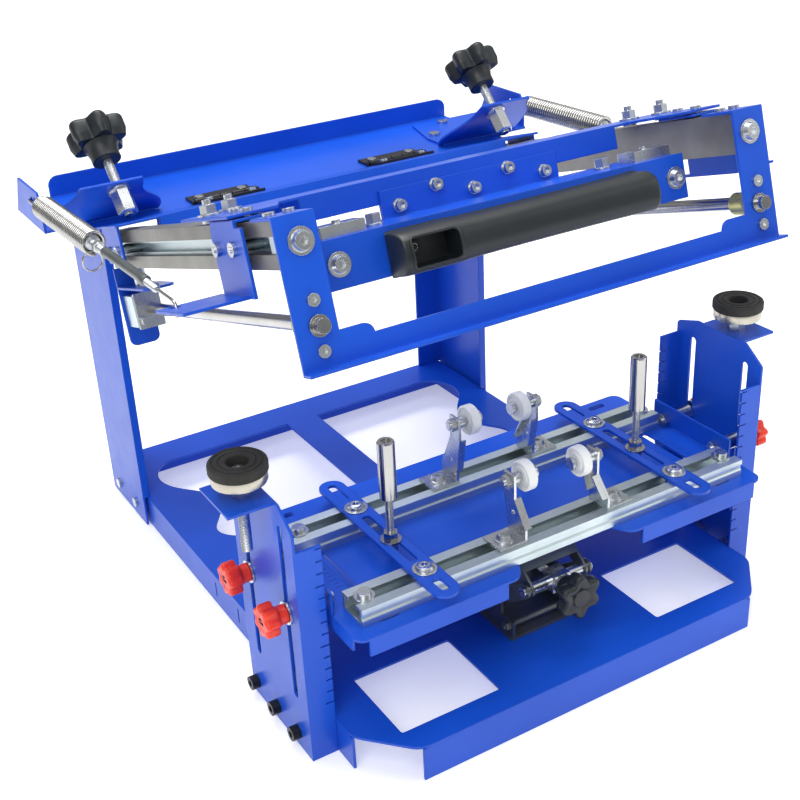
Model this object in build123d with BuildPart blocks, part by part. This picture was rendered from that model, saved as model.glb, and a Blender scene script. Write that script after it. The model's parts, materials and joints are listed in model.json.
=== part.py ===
from build123d import *
from math import sin, cos, radians, degrees, sqrt, asin, atan2, pi
import os

os.makedirs("parts", exist_ok=True)

# Tabletop screen printing press for bottles and cups, millimetres.
# X runs across the press, the operator stands at -Y, Z is up, the floor is z = 0.

# ---------------------------------------------------------------- driving sizes
T = 2.0                      # sheet thickness of every folded blue part
HALF_W = 190.0               # half width of the base tray
Y_FRONT, Y_BACK = -260.0, 260.0
BASE_H = 30.0                # height of the base tray
Y_SIDE = -222.0              # front end of the side flanges
CORNER_R = 34.0

COL_X = 194.5                # outer face of the rear columns
COL_Y0, COL_Y1 = 169.0, 257.5
SHELF_Z = 304.0              # top face of the shelf
SHELF_Y0 = 150.0
SHELF_HALF = 208.0

BR_X = 211.0                 # outer face of the side brackets
BR_Y0, BR_Y1 = -199.0, -101.0
BR_TOP = 207.0

TBL_X = 185.0                # half width of the roller table
TBL_Y0, TBL_Y1 = -233.0, -52.0
TBL_Z = 116.0                # top face of the roller table
ROLL_Y = -157.0              # centre line between the rollers
RAIL_DY = 49.0               # slotted rails either side of it
RAIL_W, RAIL_H = 28.0, 14.0
LOCK_Z = 121.0               # height of the table lock bolts

TILT = 17.0                  # rest tilt of the arm, front up
HX_Y, HX_Z = 150.0, 305.0    # hinge axis of the arm

LINK_L = 47.8                # jack link length between pivots
JACK_P = 12.0                # jack pivots, distance either side of its centre line
JACK_Z0, JACK_Z1 = 44.0, 102.0

cT, sT = cos(radians(TILT)), sin(radians(TILT))


# ---------------------------------------------------------------- arm frame
# A point of the arm is (x, s, n): s runs forward from the hinge along the
# tilted arm, n stands up from it.
def arm_pt(x, s, n):
    return (x, HX_Y - s * cT + n * sT, HX_Z + s * sT + n * cT)


def arm_top(n=0.0):          # local x = x, local y = -s, extrudes up along n
    return Plane(origin=arm_pt(0, 0, n), x_dir=(1, 0, 0), z_dir=(0, sT, cT))


def arm_front(s=0.0):        # local x = x, local y = n, extrudes forward along s
    return Plane(origin=arm_pt(0, s, 0), x_dir=(1, 0, 0), z_dir=(0, -cT, sT))


def arm_side(x=0.0):         # local x = s, local y = n, extrudes towards -x
    return Plane(origin=arm_pt(x, 0, 0), x_dir=(0, -cT, sT), z_dir=(-1, 0, 0))


def side(x=0.0):             # local x = y, local y = z, extrudes towards +x
    return Plane(origin=(x, 0, 0), x_dir=(0, 1, 0), z_dir=(1, 0, 0))


def front(y=0.0):            # local x = x, local y = z, extrudes towards -y
    return Plane(origin=(0, y, 0), x_dir=(1, 0, 0), z_dir=(0, -1, 0))


# ---------------------------------------------------------------- small operations
def slab(plane, x0, x1, y0, y1, t, r=0.0, mode=Mode.ADD):
    with BuildSketch(plane) as sk:
        with Locations(((x0 + x1) / 2, (y0 + y1) / 2)):
            if r > 0:
                RectangleRounded(abs(x1 - x0), abs(y1 - y0), r)
            else:
                Rectangle(abs(x1 - x0), abs(y1 - y0))
    extrude(sk.sketch, amount=t, mode=mode)


def outline(plane, pts, t, mode=Mode.ADD):
    with BuildSketch(plane) as sk:
        with BuildLine():
            Polyline(*pts, close=True)
        make_face()
    extrude(sk.sketch, amount=t, mode=mode)


def rods(plane, pts, r, t, mode=Mode.ADD):
    with BuildSketch(plane) as sk:
        with Locations(*pts):
            Circle(r)
    extrude(sk.sketch, amount=t, mode=mode)


def slots(plane, pts, length, width, t, angle=0, mode=Mode.SUBTRACT):
    with BuildSketch(plane) as sk:
        with Locations(*pts):
            SlotOverall(length, width, rotation=angle)
    extrude(sk.sketch, amount=t, mode=mode)


def hexes(plane, pts, across, t, mode=Mode.ADD):
    with BuildSketch(plane) as sk:
        with Locations(*pts):
            RegularPolygon(across / 2, 6, major_radius=False)
    extrude(sk.sketch, amount=t, mode=mode)


def star(plane, centre, r, lobes, t, dip):
    with BuildSketch(plane) as sk:
        with Locations(centre):
            Circle(r)
        with Locations(centre):
            with PolarLocations(r + dip * 0.62, lobes):
                Circle(dip, mode=Mode.SUBTRACT)
    extrude(sk.sketch, amount=t)


# ================================================================ base tray
with BuildPart() as base_tray:
    with BuildSketch(Plane.XY.offset(BASE_H - T)):
        with BuildLine():
            Polyline((-156, Y_FRONT), (156, Y_FRONT), (HALF_W, Y_SIDE), (HALF_W, Y_BACK), (-HALF_W, Y_BACK), (-HALF_W, Y_SIDE), close=True)
        make_face()
        corners = vertices().filter_by(lambda v: v.Y < 0)
        fillet(corners, CORNER_R * 0.55)
        with Locations((-117, -204), (117, -204)):
            RectangleRounded(84, 70, 2, mode=Mode.SUBTRACT)
        for m in (-1, 1):
            with BuildLine():
                l1 = Polyline((m * 17, 60), (m * 17, 222), (m * 133, 222))
                l2 = Spline(l1 @ 1, (m * 160, 214), (m * 168, 192), (m * 162, 172), (m * 145, 150), (m * 137, 128), (m * 146, 102), (m * 158, 82), (m * 150, 62))
                l3 = Spline(l2 @ 1, (m * 120, 48), (m * 60, 52), l1 @ 0)
            make_face(mode=Mode.SUBTRACT)
        with Locations((0, -100), (0, 20)):
            Circle(3.2, mode=Mode.SUBTRACT)
    extrude(amount=T)
    slab(front(Y_FRONT + T), -154, 154, 0, BASE_H - T, T)
    slab(side(-HALF_W), Y_SIDE, Y_BACK, 0, BASE_H - T, T)
    slab(side(HALF_W - T), Y_SIDE, Y_BACK, 0, BASE_H - T, T)
    slab(front(Y_BACK), -HALF_W + T, HALF_W - T, 0, BASE_H - T, T)
    for yy in (-75, -30, 15):
        slots(side(-HALF_W - 1), [(yy, 16)], 14, 2.2, 4, 90)
        slots(side(HALF_W - T - 1), [(yy, 16)], 14, 2.2, 4, 90)
    for xx in (-HALF_W - 1, HALF_W - T - 1):
        rods(side(xx), [(-110, 13), (-145, 13), (-178, 13)], 3.1, 4, Mode.SUBTRACT)
        rods(side(xx), [(192, 15), (236, 15)], 2.6, 4, Mode.SUBTRACT)
base_tray.part.label = "base_tray"
export_step(base_tray.part, "parts/base_tray.step")

# ================================================================ rear columns
with BuildPart() as column_left:
    slab(side(-COL_X), COL_Y0, COL_Y1, 1.0, SHELF_Z - T, T)
    slab(front(COL_Y1), -COL_X, -COL_X + 30, BASE_H, SHELF_Z - T, T)
    slab(front(COL_Y0 + T), -COL_X, -COL_X + 7, BASE_H, SHELF_Z - T, T)
    slab(Plane.XY.offset(SHELF_Z - 2 * T), -COL_X, -COL_X + 30, COL_Y0, COL_Y1, T)
    rods(side(-COL_X - 1), [(192, 15), (236, 15)], 2.6, 4, Mode.SUBTRACT)
    rods(Plane.XY.offset(SHELF_Z - 2 * T - 1), [(-187, 228)], 2.6, 4, Mode.SUBTRACT)

with BuildPart() as column_right:
    slab(side(COL_X - T), COL_Y0, COL_Y1, 1.0, SHELF_Z - T, T)
    slab(front(COL_Y1), COL_X - 30, COL_X, BASE_H, SHELF_Z - T, T)
    slab(front(COL_Y0 + T), COL_X - 7, COL_X, BASE_H, SHELF_Z - T, T)
    slab(Plane.XY.offset(SHELF_Z - 2 * T), COL_X - 30, COL_X, COL_Y0, COL_Y1, T)
    rods(side(COL_X - T - 1), [(192, 15), (236, 15)], 2.6, 4, Mode.SUBTRACT)
    rods(Plane.XY.offset(SHELF_Z - 2 * T - 1), [(187, 228)], 2.6, 4, Mode.SUBTRACT)

with BuildPart() as column_spacers:
    # thin washers between the columns and the base flanges
    rods(side(-COL_X + T), [(192, 15), (236, 15)], 6.0, COL_X - T - HALF_W)
    rods(side(HALF_W), [(192, 15), (236, 15)], 6.0, COL_X - T - HALF_W)
    rods(side(-COL_X + T - 1), [(192, 15), (236, 15)], 2.7, 6, Mode.SUBTRACT)
    rods(side(HALF_W - 1), [(192, 15), (236, 15)], 2.7, 6, Mode.SUBTRACT)

with BuildPart() as column_screws:
    for m in (-1, 1):
        for yy in (192, 236):
            x_head = m * (COL_X + 2.4)
            x_in = m * (HALF_W - T - 7)
            rods(side(min(x_head, x_in)), [(yy, 15)], 2.5, abs(x_head - x_in))
            rods(side(m * (COL_X + 1.2) - 1.2), [(yy, 15)], 4.6, 2.4)
            hexes(side(m * (HALF_W - T - 2) - 2), [(yy, 15)], 8.0, 4)

# ================================================================ top shelf
HOLES_SHELF = [(-187, 228), (187, 228), (-157, 196), (157, 196)]
HINGE_X = 86.0               # centre of each hinge leaf pair
HINGE_HALF = 29.0
with BuildPart() as top_shelf:
    slab(Plane.XY.offset(SHELF_Z - T), -SHELF_HALF, SHELF_HALF, SHELF_Y0, 258, T)
    with BuildSketch(front(258)):
        with BuildLine():
            Polyline((-SHELF_HALF, SHELF_Z), (-SHELF_HALF, SHELF_Z + 18), (SHELF_HALF, SHELF_Z + 18), (SHELF_HALF, SHELF_Z), close=True)
        make_face()
        fillet(vertices().filter_by(lambda v: v.Y > SHELF_Z + 10), 9)
    extrude(amount=T)
    slab(front(SHELF_Y0 + T), -150, 150, SHELF_Z - 12, SHELF_Z - T, T)
    rods(Plane.XY.offset(SHELF_Z - T - 1), HOLES_SHELF, 2.6, 4, Mode.SUBTRACT)
    rods(Plane.XY.offset(SHELF_Z - T - 1), [(m * HINGE_X + d, 161) for m in (-1, 1) for d in (-20, 20)], 2.1, 4, Mode.SUBTRACT)
top_shelf.part.label = "top_shelf"
export_step(top_shelf.part, "parts/top_shelf.step")

# ================================================================ limit screw brackets
STEM_Y, STEM_Z = 132.4, 337.4          # point of the stem axis on the bracket wall
STEM_X = 184.5
S45 = sqrt(0.5)
def stem_plane(x, d=0.0):               # local x = x, local y = up and forward, extrudes down the stem
    return Plane(origin=(x, STEM_Y - d * S45, STEM_Z - d * S45), x_dir=(1, 0, 0), z_dir=(0, -S45, -S45))

with BuildPart() as knob_bracket_left:
    slab(Plane.XY.offset(SHELF_Z), -242, -146, 162.5, 240, T)
    with BuildSketch(Plane.XY.offset(SHELF_Z - 1)):
        with BuildLine():
            Polyline((-140, 168), (-160, 245), (-140, 245), close=True)
        make_face()
    extrude(amount=4, mode=Mode.SUBTRACT)
    # wall leaning forward, square to the stem
    with BuildSketch(stem_plane(0, 0)):
        with BuildLine():
            p = Polyline((-229, -46.5), (-229, -12), (-219, 4), (-219, 12), (-166, 12), (-164, 2))
            q = Spline(p @ 1, (-158, -14), (-146, -27), (-142, -46.5))
            Line(q @ 1, p @ 0)
        make_face()
    extrude(amount=-T)
    rods(stem_plane(-STEM_X, 5), [(0, 0)], 4.1, -12, Mode.SUBTRACT)
    outline(side(-242), [(164, SHELF_Z), (240, SHELF_Z), (222, SHELF_Z + 33), (170, SHELF_Z + 33), (164, SHELF_Z + 24)], T)
    rods(side(-243), [(186, SHELF_Z + 23)], 3.0, 4, Mode.SUBTRACT)
    rods(Plane.XY.offset(SHELF_Z - 1), [(-187, 228), (-157, 196)], 2.6, 4, Mode.SUBTRACT)

with BuildPart() as knob_bracket_right:
    add(mirror(knob_bracket_left.part, about=Plane.YZ))

with BuildPart() as shelf_screws:
    for (xx, yy) in HOLES_SHELF:
        with BuildSketch(Plane.XY.offset(SHELF_Z + T)):
            with Locations((xx, yy)):
                Circle(5.2)
        extrude(amount=2.6)
        rods(Plane.XY.offset(SHELF_Z - 8), [(xx, yy)], 2.5, 12)
        if abs(xx) < 165:
            hexes(Plane.XY.offset(SHELF_Z - T - 4), [(xx, yy)], 8, 4)
        else:
            hexes(Plane.XY.offset(SHELF_Z - 2 * T - 4), [(xx, yy)], 8, 4)

# ================================================================ hinges
# Two small butt hinges join the shelf to the arm: pin along X at (HX_Y, HX_Z + 2).
PIN_R, KNUCKLE_R = 1.5, 3.2
PZ = HX_Z + 2.2              # hinge pin height
with BuildPart() as hinge_leaves_shelf:
    for m in (-1, 1):
        c = m * HINGE_X
        slab(Plane.XY.offset(SHELF_Z), c - HINGE_HALF, c + HINGE_HALF, HX_Y + 1.0, HX_Y + 21, 2.4)
        for x0, x1 in ((-29, -17.6), (-5.6, 5.6), (17.6, 29)):
            rods(side(c + x0), [(HX_Y, PZ)], KNUCKLE_R, x1 - x0)
        rods(side(c - 30), [(HX_Y, PZ)], PIN_R + 0.05, 60, Mode.SUBTRACT)
        slab(Plane.XY.offset(SHELF_Z - 4), c - 30, c + 30, HX_Y - 6, HX_Y + 6, 4, mode=Mode.SUBTRACT)
        for x0, x1 in ((-17.6, -5.6), (5.6, 17.6)):
            slab(side(c + x0 - 0.3), HX_Y - 4, HX_Y + 4.4, SHELF_Z - 1, SHELF_Z + 8, x1 - x0 + 0.6, mode=Mode.SUBTRACT)
        rods(Plane.XY.offset(SHELF_Z - 1), [(c - 20, 161), (c + 20, 161)], 2.1, 6, Mode.SUBTRACT)

with BuildPart() as hinge_pins:
    for m in (-1, 1):
        rods(side(m * HINGE_X - 30), [(HX_Y, PZ)], PIN_R, 60)
        for e in (-1, 1):
            rods(side(m * HINGE_X + e * 30 - (1.2 if e < 0 else 0)), [(HX_Y, PZ)], 2.4, 1.2)

with BuildPart() as hinge_screws_shelf:
    pts = [(m * HINGE_X + d, 161) for m in (-1, 1) for d in (-20, 20)]
    rods(Plane.XY.offset(SHELF_Z + 2.4), pts, 4.0, 2.0)
    rods(Plane.XY.offset(SHELF_Z - 6), pts, 2.0, 9)
    hexes(Plane.XY.offset(SHELF_Z - T - 3.2), pts, 7.0, 3.2)

# ================================================================ side brackets
SLOT_Y = (-121.0, -181.0)
FOOT_X, FOOT_Y = 224.0, -154.0
with BuildPart() as side_bracket_left:
    with BuildSketch(side(-BR_X)):
        with BuildLine():
            Polyline((BR_Y0, 0), (BR_Y0, BR_TOP - 14), (-180, BR_TOP), (-124, BR_TOP), (BR_Y1, BR_TOP - 7), (BR_Y1, 0), close=True)
        make_face()
        fillet(vertices().filter_by(lambda v: v.X > BR_TOP - 16 or v.Y > BR_TOP - 16).filter_by(lambda v: v.Y > 100), 4)
        with Locations(*[(y, 119) for y in SLOT_Y]):
            SlotOverall(144, 6.6, rotation=90, mode=Mode.SUBTRACT)
    extrude(amount=T)
    slab(front(BR_Y0 + T), -BR_X, -190, 0, 178, T)
    slab(front(BR_Y1), -BR_X, -190, 0, 190, T)
    slab(Plane.XY.offset(BR_TOP - T), -244, -BR_X + T, -176, -130, T)
    rods(Plane.XY.offset(BR_TOP - T - 1), [(-FOOT_X, FOOT_Y)], 4.1, 4, Mode.SUBTRACT)
    rods(side(-BR_X - 1), [(-110, 13), (-145, 13), (-178, 13)], 3.1, 4, Mode.SUBTRACT)
    # engraved height marks, every 10 mm, on the inner edges of both flanges
    for k in range(14):
        z = 46 + 10 * k
        slab(front(BR_Y0 + T + 0.5), -195 if k % 5 else -197, -188, z - 0.5, z + 0.5, T + 1, mode=Mode.SUBTRACT)
        slab(front(BR_Y1 + 0.5), -195 if k % 5 else -197, -188, z - 0.5, z + 0.5, T + 1, mode=Mode.SUBTRACT)
side_bracket_left.part.label = "side_bracket_left"
export_step(side_bracket_left.part, "parts/side_bracket_left.step")

with BuildPart() as side_bracket_right:
    add(mirror(side_bracket_left.part, about=Plane.YZ))
side_bracket_right.part.label = "side_bracket_right"
export_step(side_bracket_right.part, "parts/side_bracket_right.step")

BASE_BOLTS = [(-110, 13), (-145, 13), (-178, 13)]
with BuildPart() as bracket_spacers:
    for x0 in (-BR_X + T, HALF_W):
        rods(side(x0), BASE_BOLTS, 7.0, BR_X - T - HALF_W)
        rods(side(x0 - 1), BASE_BOLTS, 3.1, 22, Mode.SUBTRACT)

with BuildPart() as bracket_screws:
    rods(side(-BR_X - 6.5), BASE_BOLTS, 5.5, 6.5)
    rods(side(-BR_X), BASE_BOLTS, 3.0, 30)
    hexes(side(-HALF_W + T), BASE_BOLTS, 10, 5)
    hexes(side(-BR_X - 7), BASE_BOLTS, 5, 4, Mode.SUBTRACT)
    rods(side(BR_X), BASE_BOLTS, 5.5, 6.5)
    rods(side(BR_X - 30), BASE_BOLTS, 3.0, 30)
    hexes(side(HALF_W - T - 5), BASE_BOLTS, 10, 5)
    hexes(side(BR_X + 3), BASE_BOLTS, 5, 4, Mode.SUBTRACT)
bracket_screws.part.label = "bracket_screws"
export_step(bracket_screws.part, "parts/bracket_screws.step")

# ================================================================ adjustable arm rests
# rubber pad in a zinc cup on a threaded stud, locked by a nut on the bracket tab
def foot_parts(m):
    with BuildPart() as cup:
        rods(Plane.XY.offset(218), [(m * FOOT_X, FOOT_Y)], 19.5, 8)
        rods(Plane.XY.offset(220), [(m * FOOT_X, FOOT_Y)], 17.8, 8, Mode.SUBTRACT)
        rods(Plane.XY.offset(214), [(m * FOOT_X, FOOT_Y)], 8.5, 4)
    with BuildPart() as pad:
        rods(Plane.XY.offset(220), [(m * FOOT_X, FOOT_Y)], 17.8, 13)
        rods(Plane.XY.offset(226), [(m * FOOT_X, FOOT_Y)], 20.5, 7)
        fillet(pad.edges().group_by(Axis.Z)[-1], 1.5)
        rods(Plane.XY.offset(225), [(m * FOOT_X, FOOT_Y)], 7.5, 10, Mode.SUBTRACT)
    with BuildPart() as stud:
        rods(Plane.XY.offset(163), [(m * FOOT_X, FOOT_Y)], 4.0, 51)
    return cup.part, pad.part, stud.part

cupL, padL, studL = foot_parts(-1)
cupR, padR, studR = foot_parts(1)
with BuildPart() as foot_cup_left:
    add(cupL)
with BuildPart() as foot_cup_right:
    add(cupR)
with BuildPart() as rest_pad_left:
    add(padL)
rest_pad_left.part.label = "rest_pad_left"
export_step(rest_pad_left.part, "parts/rest_pad_left.step")
with BuildPart() as rest_pad_right:
    add(padR)
rest_pad_right.part.label = "rest_pad_right"
export_step(rest_pad_right.part, "parts/rest_pad_right.step")
with BuildPart() as foot_stud_left:
    add(studL)
with BuildPart() as foot_stud_right:
    add(studR)
with BuildPart() as foot_nuts:
    for m in (-1, 1):
        for z in (BR_TOP, BR_TOP - T - 6.5):
            hexes(Plane.XY.offset(z), [(m * FOOT_X, FOOT_Y)], 13, 6.5)
            rods(Plane.XY.offset(z - 0.5), [(m * FOOT_X, FOOT_Y)], 4.05, 8, Mode.SUBTRACT)

# ================================================================ limit screws
# star knob and M8 stem through the leaning bracket wall and a long hex nut
# fixed under it; the stem's tip is the stop for the arm
def limit_parts(m):
    x = m * STEM_X
    with BuildPart() as knob:
        star(stem_plane(x, -62), (0, 0), 25, 6, 20, 8)
        fillet(knob.edges().group_by(Axis((0, 0, 0), (0, -S45, -S45)))[0], 3)
        rods(stem_plane(x, -42), [(0, 0)], 12, 15)
    with BuildPart() as stem:
        rods(stem_plane(x, -27), [(0, 0)], 3.95, 51.5)
    with BuildPart() as sleeve:
        rods(stem_plane(x, 0.0), [(0, 0)], 9.5, 2.0)
        hexes(stem_plane(x, 2.0), [(0, 0)], 15, 21.0)
        chamfer(sleeve.edges().group_by(Axis((0, 0, 0), (0, -S45, -S45)))[-1], 1.2)
        rods(stem_plane(x, -1.0), [(0, 0)], 4.1, 26, Mode.SUBTRACT)
    return knob.part, stem.part, sleeve.part

knobL, stemL, sleeveL = limit_parts(-1)
knobR, stemR, sleeveR = limit_parts(1)
with BuildPart() as limit_knob_left:
    add(knobL)
limit_knob_left.part.label = "limit_knob_left"
export_step(limit_knob_left.part, "parts/limit_knob_left.step")
with BuildPart() as limit_knob_right:
    add(knobR)
limit_knob_right.part.label = "limit_knob_right"
export_step(limit_knob_right.part, "parts/limit_knob_right.step")
with BuildPart() as limit_stem_left:
    add(stemL)
with BuildPart() as limit_stem_right:
    add(stemR)
with BuildPart() as limit_sleeve_left:
    add(sleeveL)
with BuildPart() as limit_sleeve_right:
    add(sleeveR)

# ================================================================ tilting arm
ARM_X = 205.0
RAIL_IN, RAIL_OUT = 176.0, 196.0     # side rails, inner and outer faces
RAIL_TOP, RAIL_BOT = -6.0, -36.0
RAIL_S0, RAIL_S1 = 2.0, 348.0
HANG_X = 201.0                        # inner face of the spring brackets
BEAM_S0, BEAM_S1 = 214.0, 258.0
BAR_S = 309.0                         # rear face of the handle bar
SCREW_X = [(-62.7, -21), (-31, -12.5), (0, -21), (31, -12.5), (62.7, -21)]

with BuildPart() as arm_rear_strip:
    slab(arm_top(-T), -ARM_X, ARM_X, -60, -4, T)
    slab(arm_front(58), -168, 168, -14, 0, T)
    # ears reach down outside the side rails to the fixed slide members
    for m in (-1, 1):
        slab(arm_side(m * HANG_X + (T if m > 0 else 0)), 14, 56, -31, 0, T)
    for m in (-1, 1):
        rods(arm_top(-T - 1), [(m * HINGE_X + d, -12.5) for d in (-20, 20)], 2.1, 4, Mode.SUBTRACT)
        rods(arm_side(m * 208), [(24, -21), (46, -21)], 2.1, m * 16, Mode.SUBTRACT)
arm_rear_strip.part.label = "arm_rear_strip"
export_step(arm_rear_strip.part, "parts/arm_rear_strip.step")

with BuildPart() as hinge_leaves_arm:
    for m in (-1, 1):
        c = m * HINGE_X
        slab(arm_top(0), c - HINGE_HALF, c + HINGE_HALF, -21, -1.0, 2.4)
        for x0, x1 in ((-17.4, -5.8), (5.8, 17.4)):
            rods(side(c + x0), [(HX_Y, PZ)], KNUCKLE_R, x1 - x0)
        rods(side(c - 30), [(HX_Y, PZ)], PIN_R + 0.05, 60, Mode.SUBTRACT)
        slab(arm_top(-4), c - 30, c + 30, -6, 6, 4, mode=Mode.SUBTRACT)
        for x0, x1 in ((-29, -17.4), (-5.8, 5.8), (17.4, 29)):
            slab(arm_side(c + x1 + 0.2), -4.4, 5.2, -1, 8, x1 - x0 + 0.4, mode=Mode.SUBTRACT)
        rods(arm_top(-1), [(c - 20, -12.5), (c + 20, -12.5)], 2.1, 6, Mode.SUBTRACT)
hinge_leaves_arm.part.label = "hinge_leaves_arm"
export_step(hinge_leaves_arm.part, "parts/hinge_leaves_arm.step")

with BuildPart() as hinge_screws_arm:
    pts = [(m * HINGE_X + d, -12.5) for m in (-1, 1) for d in (-20, 20)]
    rods(arm_top(2.4), pts, 4.0, 2.0)
    rods(arm_top(-6), pts, 2.0, 9)
    hexes(arm_top(-T - 3.2), pts, 7.0, 3.2)
    # ear screws into the slide members
    for m in (-1, 1):
        xs = m * (HANG_X + T)
        rods(arm_side(xs + (2.4 if m > 0 else 0)), [(24, -21), (46, -21)], 4.0, 2.4)
        rods(arm_side(m * 198 + 9), [(24, -21), (46, -21)], 2.0, 18)

# fixed slide member inside each side rail, with spacers out through the slot
def slide_member(m):
    with BuildPart() as b:
        x_in, x_out = m * 180.5, m * 190.5
        slab(arm_front(16), x_in, x_out, -28.5, -13.5, 308)
        slab(arm_front(15), m * 184, m * 191, -24.5, -17.5, 310, mode=Mode.SUBTRACT)
        for s in (24, 46, 268, 296):
            x0 = max(x_in, m * HANG_X) if m > 0 else m * 180.5
            rods(arm_side(x0), [(s, -21)], 3.4, 20.5)
        rods(arm_side(m * 191 + 20), [(24, -21), (46, -21), (268, -21), (296, -21)], 2.0, 40, Mode.SUBTRACT)
    return b.part

with BuildPart() as slide_member_left:
    add(slide_member(-1))
with BuildPart() as slide_member_right:
    add(slide_member(1))

with BuildPart() as cross_beam:
    outline(arm_top(-T), [(-ARM_X, -BEAM_S0), (ARM_X, -BEAM_S0), (ARM_X, -300), (170, -300), (150, -BEAM_S1), (-150, -BEAM_S1), (-170, -300), (-ARM_X, -300)], T)
    slab(arm_front(BEAM_S1 - T), -136, 136, -18, 0, T)
    slab(arm_front(BEAM_S1 - T), -76, 76, -29, -18, T)
    slab(arm_front(BEAM_S0), -165, 165, -14, 0, T)
    rods(arm_front(BEAM_S1 - 4), SCREW_X, 2.6, 6, Mode.SUBTRACT)
    rods(arm_top(-3), [(m * x, -s) for m in (-1, 1) for x, s in ((195, 244), (174, 230))], 3.1, 4, Mode.SUBTRACT)
    rods(arm_top(-3), [(m * 188, -s) for m in (-1, 1) for s in (272, 292)], 2.1, 4, Mode.SUBTRACT)
cross_beam.part.label = "cross_beam"
export_step(cross_beam.part, "parts/cross_beam.step")

with BuildPart() as beam_bolts:
    for m in (-1, 1):
        pts = [(m * 195, -244), (m * 174, -230)]
        rods(arm_top(0), pts, 8.0, 1.4)
        hexes(arm_top(1.4), pts, 10, 6)
        rods(arm_top(-3.2), pts, 3.0, 14)
        rods(arm_top(-4.6), pts, 5.5, 2.6)
        rods(arm_top(0), [(m * 188, -272), (m * 188, -292)], 4.0, 2.4)
        rods(arm_top(-5), [(m * 188, -272), (m * 188, -292)], 2.0, 5)

# spring bracket: outer plate on the slide member, foot turned out as the landing tab
def spring_bracket(m):
    with BuildPart() as b:
        slab(arm_side(m * HANG_X + (T if m > 0 else 0)), 260, 312, -53, -8, T)
        slab(arm_top(-53), m * HANG_X, m * 248, -304, -250, T)
        slab(arm_top(-5), m * 176, m * (HANG_X + T), -302, -262, T)
        slab(arm_side(m * HANG_X + (T if m > 0 else 0)), 262, 302, -9, -3, T)
        rods(arm_side(m * 208), [(268, -21), (296, -21)], 2.1, m * 16, Mode.SUBTRACT)
        slots(arm_top(-54), [(m * 238, -259.3)], 13, 6.4, 4, 90)
        rods(arm_top(-6), [(m * 188, -272), (m * 188, -292)], 2.0, 4, Mode.SUBTRACT)
    return b.part

with BuildPart() as spring_bracket_left:
    add(spring_bracket(-1))
with BuildPart() as spring_bracket_right:
    add(spring_bracket(1))

with BuildPart() as spring_bracket_screws:
    for m in (-1, 1):
        xs = m * (HANG_X + T)
        rods(arm_side(xs + (3 if m > 0 else 0)), [(268, -21), (296, -21)], 4.8, 3)
        rods(arm_side(m * 198 + 9), [(268, -21), (296, -21)], 2.0, 18)
        hexes(arm_side(xs + (3.2 if m > 0 else -1.4)), [(268, -21), (296, -21)], 3.4, 1.8, Mode.SUBTRACT)

# squeegee bar: tab on the beam, shelf, and front face that carries the handle
with BuildPart() as squeegee_bar:
    slab(arm_front(BEAM_S1), -76, 76, -30, -8.5, T)
    slab(arm_top(-30), -150, 150, -BAR_S - T, -BEAM_S1, T)
    slab(arm_front(BAR_S), -152, 152, -61, -28, T)
    rods(arm_front(BEAM_S1 - 2), SCREW_X, 2.6, 6, Mode.SUBTRACT)
    rods(arm_front(BAR_S - 2), [(-141.7, -44.7), (141.7, -44.7)], 4.1, 8, Mode.SUBTRACT)
    rods(arm_front(BAR_S - 2), [(-90, -45), (90, -45)], 2.6, 8, Mode.SUBTRACT)
    rods(arm_top(-32), [(-97.5, -285), (97.5, -285), (-130, -295), (130, -295)], 3.1, 6, Mode.SUBTRACT)
squeegee_bar.part.label = "squeegee_bar"
export_step(squeegee_bar.part, "parts/squeegee_bar.step")

with BuildPart() as beam_screws:
    rods(arm_front(BEAM_S1 + T), SCREW_X, 4.8, 1.2)
    rods(arm_front(BEAM_S1 + T), SCREW_X, 4.0, 5.4)
    hexes(arm_front(BEAM_S1 + T + 3.4), SCREW_X, 4.0, 3, Mode.SUBTRACT)
    rods(arm_front(BEAM_S1 - 8), SCREW_X, 2.5, 12)
    hexes(arm_front(BEAM_S1 - T - 4), SCREW_X, 8, 4)

with BuildPart() as pull_handle:
    with BuildSketch(arm_side(106)):
        with BuildLine():
            Polyline((311, -32.5), (311, -62), (331, -62), (338, -55), (338, -40), (328, -32.5), close=True)
        make_face()
        fillet(vertices().filter_by(lambda v: v.X > 320), 4)
    extrude(amount=212)
    for m in (-1, 1):
        slab(arm_front(316), m * 98, m * 58, -56, -38, 24, 2.5, Mode.SUBTRACT)
        rods(arm_front(310), [(m * 90, -45)], 2.6, 8, Mode.SUBTRACT)
pull_handle.part.label = "pull_handle"
export_step(pull_handle.part, "parts/pull_handle.step")

with BuildPart() as handle_screws:
    pts = [(-90, -45), (90, -45)]
    rods(arm_front(316), pts, 4.6, 4.5)
    rods(arm_front(301), pts, 2.5, 16)
    hexes(arm_front(BAR_S - 4), pts, 8, 4)
    hexes(arm_front(318.5), pts, 4.0, 3, Mode.SUBTRACT)

with BuildPart() as bar_end_screws:
    pts = [(-141.7, -44.7), (141.7, -44.7)]
    rods(arm_front(BAR_S + T), pts, 8.3, 1.6)
    with BuildSketch(arm_front(BAR_S + T + 1.6)):
        with Locations(*pts):
            Circle(6.5)
    extrude(amount=3.8, taper=20)
    hexes(arm_front(BAR_S + T + 3.0), pts, 5.0, 4, Mode.SUBTRACT)
    rods(arm_front(BAR_S - 14), pts, 4.0, 16)
    hexes(arm_front(BAR_S - 7), pts, 13, 7)

with BuildPart() as squeegee_adjusters:
    for m in (-1, 1):
        slab(arm_top(-28), m * 113, m * 147, -304, -284, 8, 1.0)
        rods(arm_top(-36), [(m * 130, -295)], 3.0, 18)
        rods(arm_top(-28), [(m * 97.5, -285)], 6.5, 1.4)
        hexes(arm_top(-26.6), [(m * 97.5, -285)], 10, 6.5)
        rods(arm_top(-48), [(m * 97.5, -285)], 3.0, 22)
        hexes(arm_top(-36), [(m * 97.5, -285)], 10, 5)

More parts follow.
